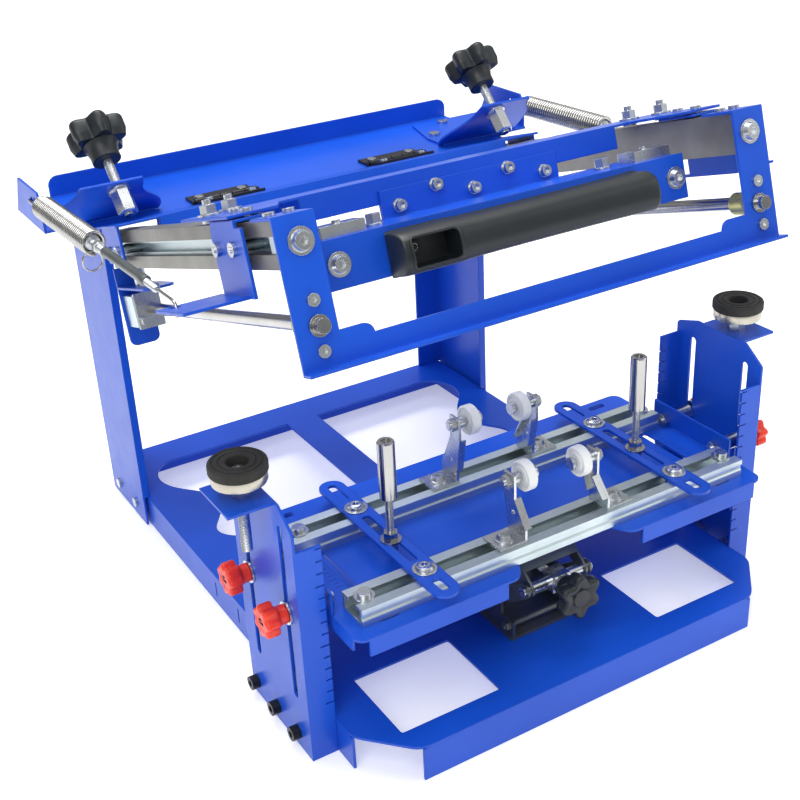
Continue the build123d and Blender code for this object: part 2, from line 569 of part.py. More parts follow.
# ================================================================ screen carriage
ROD_X, ROD_N = 182.0, -73.0
def outer_rail(m):
    with BuildPart() as b:
        with BuildSketch(arm_front(RAIL_S0)):
            with BuildLine():
                Polyline((m * RAIL_OUT, RAIL_TOP), (m * RAIL_IN, RAIL_TOP), (m * RAIL_IN, RAIL_BOT), (m * RAIL_OUT, RAIL_BOT),
                         (m * RAIL_OUT, -26.5), (m * (RAIL_OUT - 2), -26.5), (m * (RAIL_OUT - 2), RAIL_BOT + 2), (m * (RAIL_IN + 2), RAIL_BOT + 2),
                         (m * (RAIL_IN + 2), RAIL_TOP - 2), (m * (RAIL_OUT - 2), RAIL_TOP - 2), (m * (RAIL_OUT - 2), -15.5), (m * RAIL_OUT, -15.5), close=True)
            make_face()
        extrude(amount=RAIL_S1 - RAIL_S0)
    return b.part

with BuildPart() as outer_rail_left:
    add(outer_rail(-1))
with BuildPart() as outer_rail_right:
    add(outer_rail(1))

FP = RAIL_S1                          # rear face of the front plate
with BuildPart() as carriage_front_plate:
    with BuildSketch(arm_front(FP)):
        with BuildLine():
            a1 = Polyline((-169, -4), (-198, -4), (-198, -100), (198, -100), (198, -4), (169, -4), (169, -79), (154, -79))
            a2 = Spline(a1 @ 1, (148, -80.5), (145, -86))
            a3 = Line(a2 @ 1, (-145, -86))
            a4 = Spline(a3 @ 1, (-148, -80.5), (-154, -79))
            a5 = Polyline(a4 @ 1, (-169, -79), (-169, -4))
        make_face()
        with Locations((-182, -21), (182, -21)):
            Circle(4.1, mode=Mode.SUBTRACT)
        with Locations((-ROD_X, ROD_N), (ROD_X, ROD_N)):
            Circle(5.05, mode=Mode.SUBTRACT)
        with Locations((-182.5, -57), (182.5, -57), (-182.5, -89), (182.5, -89)):
            Circle(2.6, mode=Mode.SUBTRACT)
    extrude(amount=T)
    slab(arm_top(-102), -198, 198, -(FP + 11), -FP, T)
    for m in (-1, 1):
        slab(arm_top(-6), m * 169, m * 198, -(FP + T), -(FP - 30), T)
        rods(arm_top(-7), [(m * 176.5, -330), (m * 190, -330)], 2.1, 4, Mode.SUBTRACT)
carriage_front_plate.part.label = "carriage_front_plate"
export_step(carriage_front_plate.part, "parts/carriage_front_plate.step")

with BuildPart() as rail_end_blocks:
    for m in (-1, 1):
        slab(arm_front(FP - 16), m * (RAIL_IN + 2), m * (RAIL_OUT - 2), RAIL_BOT + 2, RAIL_TOP - 2, 16)
        rods(arm_front(FP - 17), [(m * 182, -21)], 5.0, 18, Mode.SUBTRACT)

with BuildPart() as carriage_screws:
    pts = [(-182, -21), (182, -21)]
    rods(arm_front(FP + T), pts, 8.8, 1.6)
    with BuildSketch(arm_front(FP + T + 1.6)):
        with Locations(*pts):
            Circle(7.0)
    extrude(amount=3.8, taper=20)
    hexes(arm_front(FP + T + 3.2), pts, 5.0, 4, Mode.SUBTRACT)
    rods(arm_front(FP - 14), pts, 4.0, 17)
    pts = [(-182.5, -57), (182.5, -57), (-182.5, -89), (182.5, -89)]
    rods(arm_front(FP + T), pts, 4.2, 2.8)
    hexes(arm_front(FP + T + 1.4), pts, 3.0, 2, Mode.SUBTRACT)
    rods(arm_front(FP - 8), pts, 2.5, 10)
    hexes(arm_front(FP - 4), pts, 8, 4)
    pts = [(m * x, -330) for m in (-1, 1) for x in (176.5, 190)]
    rods(arm_top(-4), pts, 4.0, 2.4)
    rods(arm_top(-6), pts, 2.0, 3)

with BuildPart() as guide_rods:
    rods(arm_front(2), [(-ROD_X, ROD_N), (ROD_X, ROD_N)], 5.0, 356)
    rods(arm_front(FP + T), [(-ROD_X, ROD_N), (ROD_X, ROD_N)], 7.0, 2.4)
guide_rods.part.label = "guide_rods"
export_step(guide_rods.part, "parts/guide_rods.step")

with BuildPart() as rod_collars:
    pts = [(-ROD_X, ROD_N), (ROD_X, ROD_N)]
    rods(arm_front(FP - 20), pts, 8.5, 14)
    hexes(arm_front(FP - 6), pts, 17, 6)
    rods(arm_front(FP - 21), pts, 5.0, 22, Mode.SUBTRACT)
rod_collars.part.label = "rod_collars"
export_step(rod_collars.part, "parts/rod_collars.step")

def rear_plate(m):
    with BuildPart() as b:
        with BuildSketch(arm_front(3)):
            with Locations((m * 186, -69.8)):
                Rectangle(26, 66.4)
            corner = vertices().filter_by(lambda v: v.Y < -90)
            fillet(corner, 6)
            with Locations((m * ROD_X, ROD_N)):
                Circle(5.05, mode=Mode.SUBTRACT)
        extrude(amount=T)
        with BuildSketch(arm_top(-54)):
            with BuildLine():
                Polyline((m * 199, -3), (m * 199, -80), (m * 173, -80), (m * 173, -3), close=True)
            make_face()
            fillet(vertices().filter_by(lambda v: v.Y < -50), 9)
            with Locations((m * 186, -62)):
                Circle(2.6, mode=Mode.SUBTRACT)
        extrude(amount=T)
    return b.part

with BuildPart() as rear_plate_left:
    add(rear_plate(-1))
with BuildPart() as rear_plate_right:
    add(rear_plate(1))

with BuildPart() as rod_blocks:
    for m in (-1, 1):
        slab(arm_front(5), m * 173.5, m * 196.5, -86, -60, 24)
        rods(arm_front(4), [(m * ROD_X, ROD_N)], 5.05, 26, Mode.SUBTRACT)

with BuildPart() as rod_clamps:
    for m in (-1, 1):
        # zinc clamp plate, thumb screw and the posts that carry the rail
        slab(arm_front(29), m * 174, m * 196, -88, -58, 2.5, 1.0)
        rods(arm_front(28), [(m * ROD_X, ROD_N)], 5.0, 5, Mode.SUBTRACT)
        rods(arm_front(31.5), [(m * 191.5, -81)], 3.4, 7)
        rods(arm_top(-52), [(m * 186, -30)], 5.0, 16)
        rods(arm_top(-52), [(m * 186, -62)], 4.0, 2.4)
        rods(arm_top(-57), [(m * 186, -62)], 2.5, 6)

# ================================================================ roller table
RAIL_YS = (ROLL_Y - RAIL_DY, ROLL_Y + RAIL_DY)
RAIL_TOP_Z = TBL_Z + RAIL_H
with BuildPart() as roller_table:
    with BuildSketch(Plane.XY.offset(TBL_Z - T)):
        with BuildLine():
            b1 = Polyline((-60, TBL_Y0), (-TBL_X, TBL_Y0), (-TBL_X, TBL_Y1), (TBL_X, TBL_Y1), (TBL_X, TBL_Y0), (60, TBL_Y0))
            b2 = Spline(b1 @ 1, (50, TBL_Y0 + 3), (44, TBL_Y0 + 12), (34, TBL_Y0 + 22), (22, TBL_Y0 + 25))
            b3 = Line(b2 @ 1, (-22, TBL_Y0 + 25))
            b4 = Spline(b3 @ 1, (-34, TBL_Y0 + 22), (-44, TBL_Y0 + 12), (-50, TBL_Y0 + 3), b1 @ 0)
        make_face()
        fillet(vertices().filter_by(lambda v: abs(v.X) > 150), 8)
        with Locations((-153, -218), (153, -218), (-155, -62), (155, -62)):
            SlotOverall(17, 6, mode=Mode.SUBTRACT)
        with Locations((-156, ROLL_Y + 8), (156, ROLL_Y + 8)):
            SlotOverall(52, 6, rotation=90, mode=Mode.SUBTRACT)
    extrude(amount=T)
    for m in (-1, 1):
        slab(front(TBL_Y0 + T), m * 62, m * 176, TBL_Z - 15, TBL_Z - T, T)
        slab(front(TBL_Y1), m * 20, m * 176, TBL_Z - 15, TBL_Z - T, T)
        slab(side(m * TBL_X - (T if m > 0 else 0)), -224, -61, TBL_Z - 12, TBL_Z - T, T)
        slab(side(m * TBL_X - (T if m > 0 else 0)), -196, -106, TBL_Z, TBL_Z + 18, T)
        rods(side(m * TBL_X - 4), [(y, LOCK_Z) for y in SLOT_Y], 3.1, 8, Mode.SUBTRACT)
        rods(Plane.XY.offset(TBL_Z - 4), [(m * 164, ROLL_Y + d) for d in (-RAIL_DY, RAIL_DY)], 2.6, 6, Mode.SUBTRACT)
        for k in range(9):
            y = ROLL_Y + 8 - 20 + 5 * k
            slab(Plane.XY.offset(TBL_Z - 0.3), m * 161, m * (165 if k % 2 else 167), y - 0.4, y + 0.4, 0.4, mode=Mode.SUBTRACT)
roller_table.part.label = "roller_table"
export_step(roller_table.part, "parts/roller_table.step")

with BuildPart() as slotted_rails:
    # upward open C channels: lips over a deep groove, a bead along each outer wall
    for yc in RAIL_YS:
        with BuildSketch(side(-174)):
            with BuildLine():
                Polyline((yc - 14, TBL_Z), (yc + 14, TBL_Z), (yc + 14, TBL_Z + 5), (yc + 12.6, TBL_Z + 6), (yc + 12.6, TBL_Z + 9), (yc + 14, TBL_Z + 10), (yc + 14, RAIL_TOP_Z),
                         (yc + 5.5, RAIL_TOP_Z), (yc + 5.5, RAIL_TOP_Z - 3.2), (yc + 7, RAIL_TOP_Z - 3.2), (yc + 7, RAIL_TOP_Z - 1.8), (yc + 10.8, RAIL_TOP_Z - 1.8),
                         (yc + 10.8, TBL_Z + 2), (yc - 10.8, TBL_Z + 2), (yc - 10.8, RAIL_TOP_Z - 1.8), (yc - 7, RAIL_TOP_Z - 1.8), (yc - 7, RAIL_TOP_Z - 3.2),
                         (yc - 5.5, RAIL_TOP_Z - 3.2), (yc - 5.5, RAIL_TOP_Z), (yc - 14, RAIL_TOP_Z), (yc - 14, TBL_Z + 10), (yc - 12.6, TBL_Z + 9), (yc - 12.6, TBL_Z + 6), (yc - 14, TBL_Z + 5), close=True)
            make_face()
        extrude(amount=348)
        rods(Plane.XY.offset(TBL_Z - 1), [(-164, yc), (164, yc)], 2.6, 4, Mode.SUBTRACT)
slotted_rails.part.label = "slotted_rails"
export_step(slotted_rails.part, "parts/slotted_rails.step")

with BuildPart() as table_fittings:
    for m in (-1, 1):
        pts = [(y, LOCK_Z) for y in SLOT_Y]
        # lock bolt, its nut inside the lug and the spacer sleeve out to the bracket
        rods(side(min(m * 176, m * 227)), pts, 2.95, 51)
        hexes(side(m * (TBL_X - T) - (5 if m > 0 else 0)), pts, 10, 5)
        rods(side(min(m * TBL_X, m * 208.6)), pts, 6.0, 23.6)
        rods(side(min(m * 211.2, m * 212.8)), pts, 8.6, 1.6)
        # rail end screws
        for yc in RAIL_YS:
            rods(Plane.XY.offset(RAIL_TOP_Z), [(m * 164, yc)], 7.5, 1.2)
            rods(Plane.XY.offset(RAIL_TOP_Z + 1.2), [(m * 164, yc)], 5.0, 3.2)
            rods(Plane.XY.offset(TBL_Z - 6), [(m * 164, yc)], 2.5, RAIL_TOP_Z - TBL_Z + 7)
            hexes(Plane.XY.offset(TBL_Z - T - 4), [(m * 164, yc)], 8, 4)

def red_knob(m, y):
    with BuildPart() as b:
        x0 = 221.0 if m > 0 else -232.0
        star(side(x0), (y, LOCK_Z), 12.6, 7, 11, 3.2)
        rods(side(213 if m > 0 else -221.5), [(y, LOCK_Z)], 7.0, 8.5)
        rods(side(212.5 if m > 0 else -227.4), [(y, LOCK_Z)], 3.02, 14.9, Mode.SUBTRACT)
    return b.part

with BuildPart() as lock_knob_left_front:
    add(red_knob(-1, SLOT_Y[1]))
lock_knob_left_front.part.label = "lock_knob_left_front"
export_step(lock_knob_left_front.part, "parts/lock_knob_left_front.step")
with BuildPart() as lock_knob_left_rear:
    add(red_knob(-1, SLOT_Y[0]))
lock_knob_left_rear.part.label = "lock_knob_left_rear"
export_step(lock_knob_left_rear.part, "parts/lock_knob_left_rear.step")
with BuildPart() as lock_knob_right_front:
    add(red_knob(1, SLOT_Y[1]))
lock_knob_right_front.part.label = "lock_knob_right_front"
export_step(lock_knob_right_front.part, "parts/lock_knob_right_front.step")
with BuildPart() as lock_knob_right_rear:
    add(red_knob(1, SLOT_Y[0]))
lock_knob_right_rear.part.label = "lock_knob_right_rear"
export_step(lock_knob_right_rear.part, "parts/lock_knob_right_rear.step")

# ---------------------------------------------------------------- straps and stop posts
STRAP_X, POST_Y = 115.0, -160.0
def strap(m):
    x = m * STRAP_X
    with BuildPart() as b:
        with BuildSketch(Plane.XY.offset(RAIL_TOP_Z + 0.1)):
            with Locations((x, -151)):
                SlotOverall(182, 21, rotation=90)
            with Locations((x, POST_Y + 3)):
                SlotOverall(72, 7, rotation=90, mode=Mode.SUBTRACT)
            with Locations((x, -227)):
                SlotOverall(16, 7, rotation=90, mode=Mode.SUBTRACT)
            with Locations((x, -80)):
                SlotOverall(26, 7, rotation=90, mode=Mode.SUBTRACT)
        extrude(amount=2.4)
        pts = [(x, yc) for yc in RAIL_YS]
        rods(Plane.XY.offset(RAIL_TOP_Z + 2.5), pts, 9.0, 1.2)
        with BuildSketch(Plane.XY.offset(RAIL_TOP_Z + 3.7)):
            with Locations(*pts):
                Circle(6.5)
        extrude(amount=3.2, taper=25)
        hexes(Plane.XY.offset(RAIL_TOP_Z + 4.8), pts, 4.0, 3, Mode.SUBTRACT)
        rods(Plane.XY.offset(TBL_Z + 4), pts, 2.9, RAIL_H)
        hexes(Plane.XY.offset(RAIL_TOP_Z - 8), pts, 11, 4.2)
    return b.part

with BuildPart() as strap_left:
    add(strap(-1))
strap_left.part.label = "strap_left"
export_step(strap_left.part, "parts/strap_left.step")
with BuildPart() as strap_right:
    add(strap(1))
strap_right.part.label = "strap_right"
export_step(strap_right.part, "parts/strap_right.step")

def post(m):
    x = m * STRAP_X
    z0 = RAIL_TOP_Z + 2.6
    with BuildPart() as b:
        rods(Plane.XY.offset(RAIL_TOP_Z - 7), [(x, POST_Y)], 2.9, 48)
        rods(Plane.XY.offset(169), [(x, POST_Y)], 6.5, 46)
        rods(Plane.XY.offset(z0), [(x, POST_Y)], 8.0, 1.4)
        hexes(Plane.XY.offset(z0 + 1.4), [(x, POST_Y)], 10, 6)
        hexes(Plane.XY.offset(RAIL_TOP_Z - 5.2), [(x, POST_Y)], 10, 5)
        chamfer(b.edges().group_by(Axis.Z)[-1], 0.8)
        rods(Plane.XY.offset(213), [(x, POST_Y)], 3.4, 4, Mode.SUBTRACT)
    return b.part

with BuildPart() as stop_post_left:
    add(post(-1))
stop_post_left.part.label = "stop_post_left"
export_step(stop_post_left.part, "parts/stop_post_left.step")
with BuildPart() as stop_post_right:
    add(post(1))
stop_post_right.part.label = "stop_post_right"
export_step(stop_post_right.part, "parts/stop_post_right.step")

# ---------------------------------------------------------------- roller brackets and rollers
FOOT_RX, WHEEL_DY, WHEEL_R = 47.0, 40.0, 11.8
# wheel heights and bracket positions along the rails, by side and row; each bracket is set by hand
WHEEL_ZS = {(-1, -1): 173.0, (1, -1): 168.0, (-1, 1): 182.0, (1, 1): 179.0}
SHIFT = {(-1, -1): 0.0, (1, -1): 6.0, (-1, 1): 6.0, (1, 1): 9.0}
def roller_bracket(m, k):
    yc = RAIL_YS[0] if k < 0 else RAIL_YS[1]
    yw = ROLL_Y + k * WHEEL_DY
    zw = WHEEL_ZS[(m, k)]
    dx = SHIFT[(m, k)]
    z0 = RAIL_TOP_Z + 0.1
    xw = (m * 34 if m > 0 else -36.0) + dx
    with BuildPart() as b:
        slab(Plane.XY.offset(z0), m * 34 + dx, m * 58 + dx, yc - 11, yc + 11, 2.0)
        with BuildSketch(side(xw)):
            with BuildLine():
                Polyline((yc - 11, z0), (yc + 11, z0), (yc + 11, z0 + 10), (yw + 6.5, zw - 13), (yw + 6.5, zw + 6), (yw - 6.5, zw + 6), (yw - 6.5, zw - 13), (yc - 11, z0 + 10), close=True)
            make_face()
            fillet(vertices().filter_by(lambda v: v.Z > zw), 4)
            fillet(vertices().filter_by(lambda v: z0 + 4 < v.Z < zw - 4), 5)
            with Locations((yc + (yw - yc) * 0.4, z0 + 19)):
                Circle(2.0, mode=Mode.SUBTRACT)
        extrude(amount=2.0)
        # folded edges, turned towards the wheel
        x0 = (m * 29.5 if m > 0 else -35.0) + dx
        for e in (-1, 1):
            with BuildSketch(side(x0)):
                with BuildLine():
                    Polyline((yc + e * 10.2, z0 + 10), (yw + e * 6.2, zw - 13.5), (yw + e * 4.4, zw - 13.5), (yc + e * 8.4, z0 + 10), close=True)
                make_face()
            extrude(amount=5.5)
        # axle with head and nut
        rods(side(min(m * 15.5, m * 42) + dx), [(yw, zw)], 2.9, 26.5)
        rods(side(m * 15.5 - (2.5 if m > 0 else 0) + dx), [(yw, zw)], 5.0, 2.5)
        hexes(side((m * 36.1 if m > 0 else -40.6) + dx), [(yw, zw)], 9, 4.5)
        rods(side((m * 27.2 if m > 0 else -33.9) + dx), [(yw, zw)], 4.5, 6.7)
        # clamp bolt in the rail slot
        pts = [(m * FOOT_RX + dx, yc)]
        rods(Plane.XY.offset(z0 + 2), pts, 7.5, 1.2)
        with BuildSketch(Plane.XY.offset(z0 + 3.2)):
            with Locations(*pts):
                Circle(6.0)
        extrude(amount=3.2, taper=25)
        hexes(Plane.XY.offset(z0 + 4.4), pts, 4.0, 3, Mode.SUBTRACT)
        rods(Plane.XY.offset(TBL_Z + 4), pts, 2.9, RAIL_H - 1)
        hexes(Plane.XY.offset(RAIL_TOP_Z - 8), pts, 11, 4.2)
    return b.part

def roller(m, k):
    yw = ROLL_Y + k * WHEEL_DY
    zw = WHEEL_ZS[(m, k)]
    xw = m * 18 + SHIFT[(m, k)]
    with BuildPart() as b:
        with BuildSketch(Plane(origin=(xw, yw, zw), x_dir=(0, 0, 1), z_dir=(0, m, 0))):
            with BuildLine():
                # half section: local x up from the axle, local y along the width
                Polyline((3.0, 0.5), (6.6, 0.5), (7.2, 1.3), (9.3, 1.3), (10.0, 0), (11.0, 0), (11.8, 0.8), (11.8, 7.2), (11.0, 8), (10.0, 8), (9.3, 6.7), (7.2, 6.7), (6.6, 7.5), (3.0, 7.5), close=True)
            make_face()
        revolve(axis=Axis((xw, yw, zw), (1, 0, 0)))
    return b.part

def roller_set(m, k):
    return roller_bracket(m, k), roller(m, k)

rbLF, rwLF = roller_set(-1, -1)
rbRF, rwRF = roller_set(1, -1)
rbLR, rwLR = roller_set(-1, 1)
rbRR, rwRR = roller_set(1, 1)
with BuildPart() as roller_bracket_left_front:
    add(rbLF)
roller_bracket_left_front.part.label = "roller_bracket_left_front"
export_step(roller_bracket_left_front.part, "parts/roller_bracket_left_front.step")
with BuildPart() as roller_bracket_right_front:
    add(rbRF)
roller_bracket_right_front.part.label = "roller_bracket_right_front"
export_step(roller_bracket_right_front.part, "parts/roller_bracket_right_front.step")
with BuildPart() as roller_bracket_left_rear:
    add(rbLR)
roller_bracket_left_rear.part.label = "roller_bracket_left_rear"
export_step(roller_bracket_left_rear.part, "parts/roller_bracket_left_rear.step")
with BuildPart() as roller_bracket_right_rear:
    add(rbRR)
roller_bracket_right_rear.part.label = "roller_bracket_right_rear"
export_step(roller_bracket_right_rear.part, "parts/roller_bracket_right_rear.step")
with BuildPart() as roller_left_front:
    add(rwLF)
roller_left_front.part.label = "roller_left_front"
export_step(roller_left_front.part, "parts/roller_left_front.step")
with BuildPart() as roller_right_front:
    add(rwRF)
roller_right_front.part.label = "roller_right_front"
export_step(roller_right_front.part, "parts/roller_right_front.step")
with BuildPart() as roller_left_rear:
    add(rwLR)
roller_left_rear.part.label = "roller_left_rear"
export_step(roller_left_rear.part, "parts/roller_left_rear.step")
with BuildPart() as roller_right_rear:
    add(rwRR)
roller_right_rear.part.label = "roller_right_rear"
export_step(roller_right_rear.part, "parts/roller_right_rear.step")

# ================================================================ table jack
JZ0, JZ1 = 50.0, 108.0
JZM = (JZ0 + JZ1) / 2
JDY = sqrt(LINK_L ** 2 - (JZM - JZ0) ** 2)
JM_Y = JACK_P + JDY                   # mid pivot distance from the jack centre line

with BuildPart() as jack_base:
    slab(Plane.XY.offset(BASE_H), -36, 36, ROLL_Y - 42, ROLL_Y + 42, 2.5)
    for m in (-1, 1):
        slab(side(m * 32 if m > 0 else -34.5), ROLL_Y - 26, ROLL_Y + 26, BASE_H, JZ0 + 7, 2.5)
    for k in (-1, 1):
        rods(side(-39), [(ROLL_Y + k * JACK_P, JZ0)], 3.0, 78)
        hexes(side(-39.5), [(ROLL_Y + k * JACK_P, JZ0)], 9, 5)
        hexes(side(34.5), [(ROLL_Y + k * JACK_P, JZ0)], 9, 5)
    # tie rod along the front edge
    for m in (-1, 1):
        slab(side(m * 32 if m > 0 else -34.5), ROLL_Y - 42, ROLL_Y - 26, BASE_H, 46, 2.5)
    rods(side(-40), [(ROLL_Y - 36, 41)], 2.5, 80)
    hexes(side(-38.5), [(ROLL_Y - 36, 41)], 8, 4)
    hexes(side(34.5), [(ROLL_Y - 36, 41)], 8, 4)
    rods(Plane.XY.offset(BASE_H - T - 4), [(-27, ROLL_Y), (27, ROLL_Y)], 5.0, 4)
jack_base.part.label = "jack_base"
export_step(jack_base.part, "parts/jack_base.step")

def link(k, p0, p1, xo, hole0, hole1, up):
    # pressed channel link between two pivots; k is -1 for the front side
    (y0, z0), (y1, z1) = p0, p1
    ln = sqrt((y1 - y0) ** 2 + (z1 - z0) ** 2)
    uy, uz = (y1 - y0) / ln, (z1 - z0) / ln
    def pl(x):
        # local x along the link; local y is its left-hand normal seen from +x
        return Plane(origin=(x, y0, z0), x_dir=(0, uy, uz), z_dir=(1, 0, 0))
    # outer side of the link: away from the jack centre line
    ny, nz = -uz, uy
    sgn = 1 if (ny * k) > 0 else -1
    with BuildPart() as b:
        for x in (-xo, xo - 2.0):
            with BuildSketch(pl(x)):
                with Locations((ln / 2, 0)):
                    SlotOverall(ln + 12, 12)
            extrude(amount=2.0)
        lo, hi = (9.5, ln - 13) if up else (13, ln - 9.5)
        with BuildSketch(pl(-xo)) as web:
            with Locations((ln / 2, sgn * 5.0)):
                Rectangle(ln - 24, 2.0)
        extrude(amount=2 * xo)
        rods(pl(-xo - 1), [(0, 0)], hole0, 2 * xo + 2, Mode.SUBTRACT)
        rods(pl(-xo - 1), [(ln, 0)], hole1, 2 * xo + 2, Mode.SUBTRACT)
    return b.part

PF0 = (ROLL_Y - JACK_P, JZ0)
PFM = (ROLL_Y - JM_Y, JZM)
PF1 = (ROLL_Y - JACK_P, JZ1)
PR0 = (ROLL_Y + JACK_P, JZ0)
PRM = (ROLL_Y + JM_Y, JZM)
PR1 = (ROLL_Y + JACK_P, JZ1)
with BuildPart() as jack_link_front_lower:
    add(link(-1, PF0, PFM, 30, 3.06, 4.06, False))
jack_link_front_lower.part.label = "jack_link_front_lower"
export_step(jack_link_front_lower.part, "parts/jack_link_front_lower.step")
with BuildPart() as jack_link_front_upper:
    add(link(-1, PFM, PF1, 26, 4.06, 3.06, True))
jack_link_front_upper.part.label = "jack_link_front_upper"
export_step(jack_link_front_upper.part, "parts/jack_link_front_upper.step")
with BuildPart() as jack_link_rear_lower:
    add(link(1, PR0, PRM, 30, 3.06, 4.0, False))
    # rear trunnion, carried by this link
    rods(side(-32), [PRM], 4.0, 64)
    slab(side(-8), PRM[0] - 7, PRM[0] + 7, PRM[1] - 8.5, PRM[1] + 8.5, 16)
    rods(front(PRM[0] + 9), [(0, PRM[1])], 6.0, 18, Mode.SUBTRACT)
jack_link_rear_lower.part.label = "jack_link_rear_lower"
export_step(jack_link_rear_lower.part, "parts/jack_link_rear_lower.step")
with BuildPart() as jack_link_rear_upper:
    add(link(1, PRM, PR1, 26, 4.3, 3.5, True))
jack_link_rear_upper.part.label = "jack_link_rear_upper"
export_step(jack_link_rear_upper.part, "parts/jack_link_rear_upper.step")

with BuildPart() as jack_trunnion:
    rods(side(-32), [PFM], 4.0, 64)
    slab(side(-8), PFM[0] - 7, PFM[0] + 7, PFM[1] - 7, PFM[1] + 7, 16)
    rods(front(PFM[0] + 9), [(0, PFM[1])], 3.55, 18, Mode.SUBTRACT)
jack_trunnion.part.label = "jack_trunnion"
export_step(jack_trunnion.part, "parts/jack_trunnion.step")

with BuildPart() as jack_knob:
    rods(front(PRM[0] + 14), [(0, JZM)], 3.5, PRM[0] - PFM[0] + 34)
    rods(front(PFM[0] - 7.3), [(0, JZM)], 6.0, 3)
    rods(front(PFM[0] - 18), [(0, JZM)], 9.0, 8)
    star(front(PFM[0] - 24), (0, JZM), 19, 6, 15, 6)
jack_knob.part.label = "jack_knob"
export_step(jack_knob.part, "parts/jack_knob.step")

with BuildPart() as jack_top:
    slab(Plane.XY.offset(TBL_Z - T - 2), -24, 24, ROLL_Y - 34, ROLL_Y + 34, 2.0)
    for m in (-1, 1):
        slab(side(m * 20 if m > 0 else -22), ROLL_Y - 20, ROLL_Y + 20, JZ1 - 6, TBL_Z - T, 2.0)
    for k in (-1, 1):
        rods(side(-29), [(ROLL_Y + k * JACK_P, JZ1)], 3.0, 58)
with BuildPart() as table_fittings_all:
    add(table_fittings.part)
    add(jack_top.part)
table_fittings_all.part.label = "table_fittings"
export_step(table_fittings_all.part, "parts/table_fittings.step")

# ================================================================ return springs
def spring(m):
    x1, x2 = m * 241.0, m * 238.0
    p1 = (x1, 186.0, SHELF_Z + 23)
    q = arm_pt(0, 262, -47)
    p2 = (x2, q[1], q[2])
    d = [p2[i] - p1[i] for i in range(3)]
    ln = sqrt(sum(c * c for c in d))
    d = [c / ln for c in d]
    def at(t):
        return Plane(origin=tuple(p1[i] + d[i] * t for i in range(3)), z_dir=tuple(d))
    with BuildPart() as b:
        rods(at(27.5), [(0, 0)], 10.0, 122.5)
        rods(at(31), [(0, 0)], 7.0, 115, Mode.SUBTRACT)
        # hooked end: outside the wing, then in through its hole
        rods(Plane(origin=(m * 244.7, p1[1] + 1, p1[2]), z_dir=tuple(d)), [(0, 0)], 1.3, 28)
        rods(side(m * 242 - 4), [(p1[1], p1[2])], 1.3, 8)
        rods(at(149), [(0, 0)], 3.0, 32)
        rods(at(178), [(0, 0)], 5.0, 70)
        rods(at(246), [(0, 0)], 3.0, 28)
        rods(at(272), [(0, 0)], 1.5, ln - 272)
        rods(arm_pt_plane(x2), [(0, 0)], 1.5, 12)
    return b.part

def arm_pt_plane(x):
    return Plane(origin=arm_pt(x, 262, -58), x_dir=(1, 0, 0), z_dir=(0, sT, cT))

with BuildPart() as spring_left:
    add(spring(-1))
spring_left.part.label = "spring_left"
export_step(spring_left.part, "parts/spring_left.step")
with BuildPart() as spring_right:
    add(spring(1))
spring_right.part.label = "spring_right"
export_step(spring_right.part, "parts/spring_right.step")

# ================================================================ grouped nodes
# mirrored pairs and fasteners of one body share a node, each piece its own solid
with BuildPart() as rear_columns:
    add(column_left.part)
    add(column_right.part)
rear_columns.part.label = "rear_columns"
export_step(rear_columns.part, "parts/rear_columns.step")

with BuildPart() as knob_brackets:
    add(knob_bracket_left.part)
    add(knob_bracket_right.part)
knob_brackets.part.label = "knob_brackets"
export_step(knob_brackets.part, "parts/knob_brackets.step")

with BuildPart() as frame_screws:
    add(column_screws.part)
    add(column_spacers.part)
    add(bracket_spacers.part)
    add(shelf_screws.part)
    add(hinge_screws_shelf.part)
    add(foot_nuts.part)
    add(limit_sleeve_left.part)
    add(limit_sleeve_right.part)
frame_screws.part.label = "frame_screws"
export_step(frame_screws.part, "parts/frame_screws.step")

with BuildPart() as shelf_hinges:
    add(hinge_leaves_shelf.part)
    add(hinge_pins.part)
shelf_hinges.part.label = "shelf_hinges"
export_step(shelf_hinges.part, "parts/shelf_hinges.step")

with BuildPart() as rest_stud_left:
    add(foot_cup_left.part)
    add(foot_stud_left.part)
rest_stud_left.part.label = "rest_stud_left"
export_step(rest_stud_left.part, "parts/rest_stud_left.step")

with BuildPart() as rest_stud_right:
    add(foot_cup_right.part)
    add(foot_stud_right.part)
rest_stud_right.part.label = "rest_stud_right"
export_step(rest_stud_right.part, "parts/rest_stud_right.step")

with BuildPart() as limit_screw_left:
    add(limit_stem_left.part)
limit_screw_left.part.label = "limit_screw_left"
export_step(limit_screw_left.part, "parts/limit_screw_left.step")

with BuildPart() as limit_screw_right:
    add(limit_stem_right.part)
limit_screw_right.part.label = "limit_screw_right"
export_step(limit_screw_right.part, "parts/limit_screw_right.step")

with BuildPart() as slide_members:
    add(slide_member_left.part)
    add(slide_member_right.part)
slide_members.part.label = "slide_members"
export_step(slide_members.part, "parts/slide_members.step")

with BuildPart() as arm_screws:
    add(hinge_screws_arm.part)
    add(beam_bolts.part)
    add(spring_bracket_screws.part)
    add(beam_screws.part)
    add(handle_screws.part)
    add(bar_end_screws.part)
    add(squeegee_adjusters.part)
arm_screws.part.label = "arm_screws"
export_step(arm_screws.part, "parts/arm_screws.step")

with BuildPart() as spring_brackets:
    add(spring_bracket_left.part)
    add(spring_bracket_right.part)
spring_brackets.part.label = "spring_brackets"
export_step(spring_brackets.part, "parts/spring_brackets.step")

with BuildPart() as side_rails:
    add(outer_rail_left.part)
    add(outer_rail_right.part)
side_rails.part.label = "side_rails"
export_step(side_rails.part, "parts/side_rails.step")

with BuildPart() as rod_supports:
    add(rail_end_blocks.part)
    add(rod_blocks.part)
rod_supports.part.label = "rod_supports"
export_step(rod_supports.part, "parts/rod_supports.step")

with BuildPart() as rear_plates:
    add(rear_plate_left.part)
    add(rear_plate_right.part)
rear_plates.part.label = "rear_plates"
export_step(rear_plates.part, "parts/rear_plates.step")

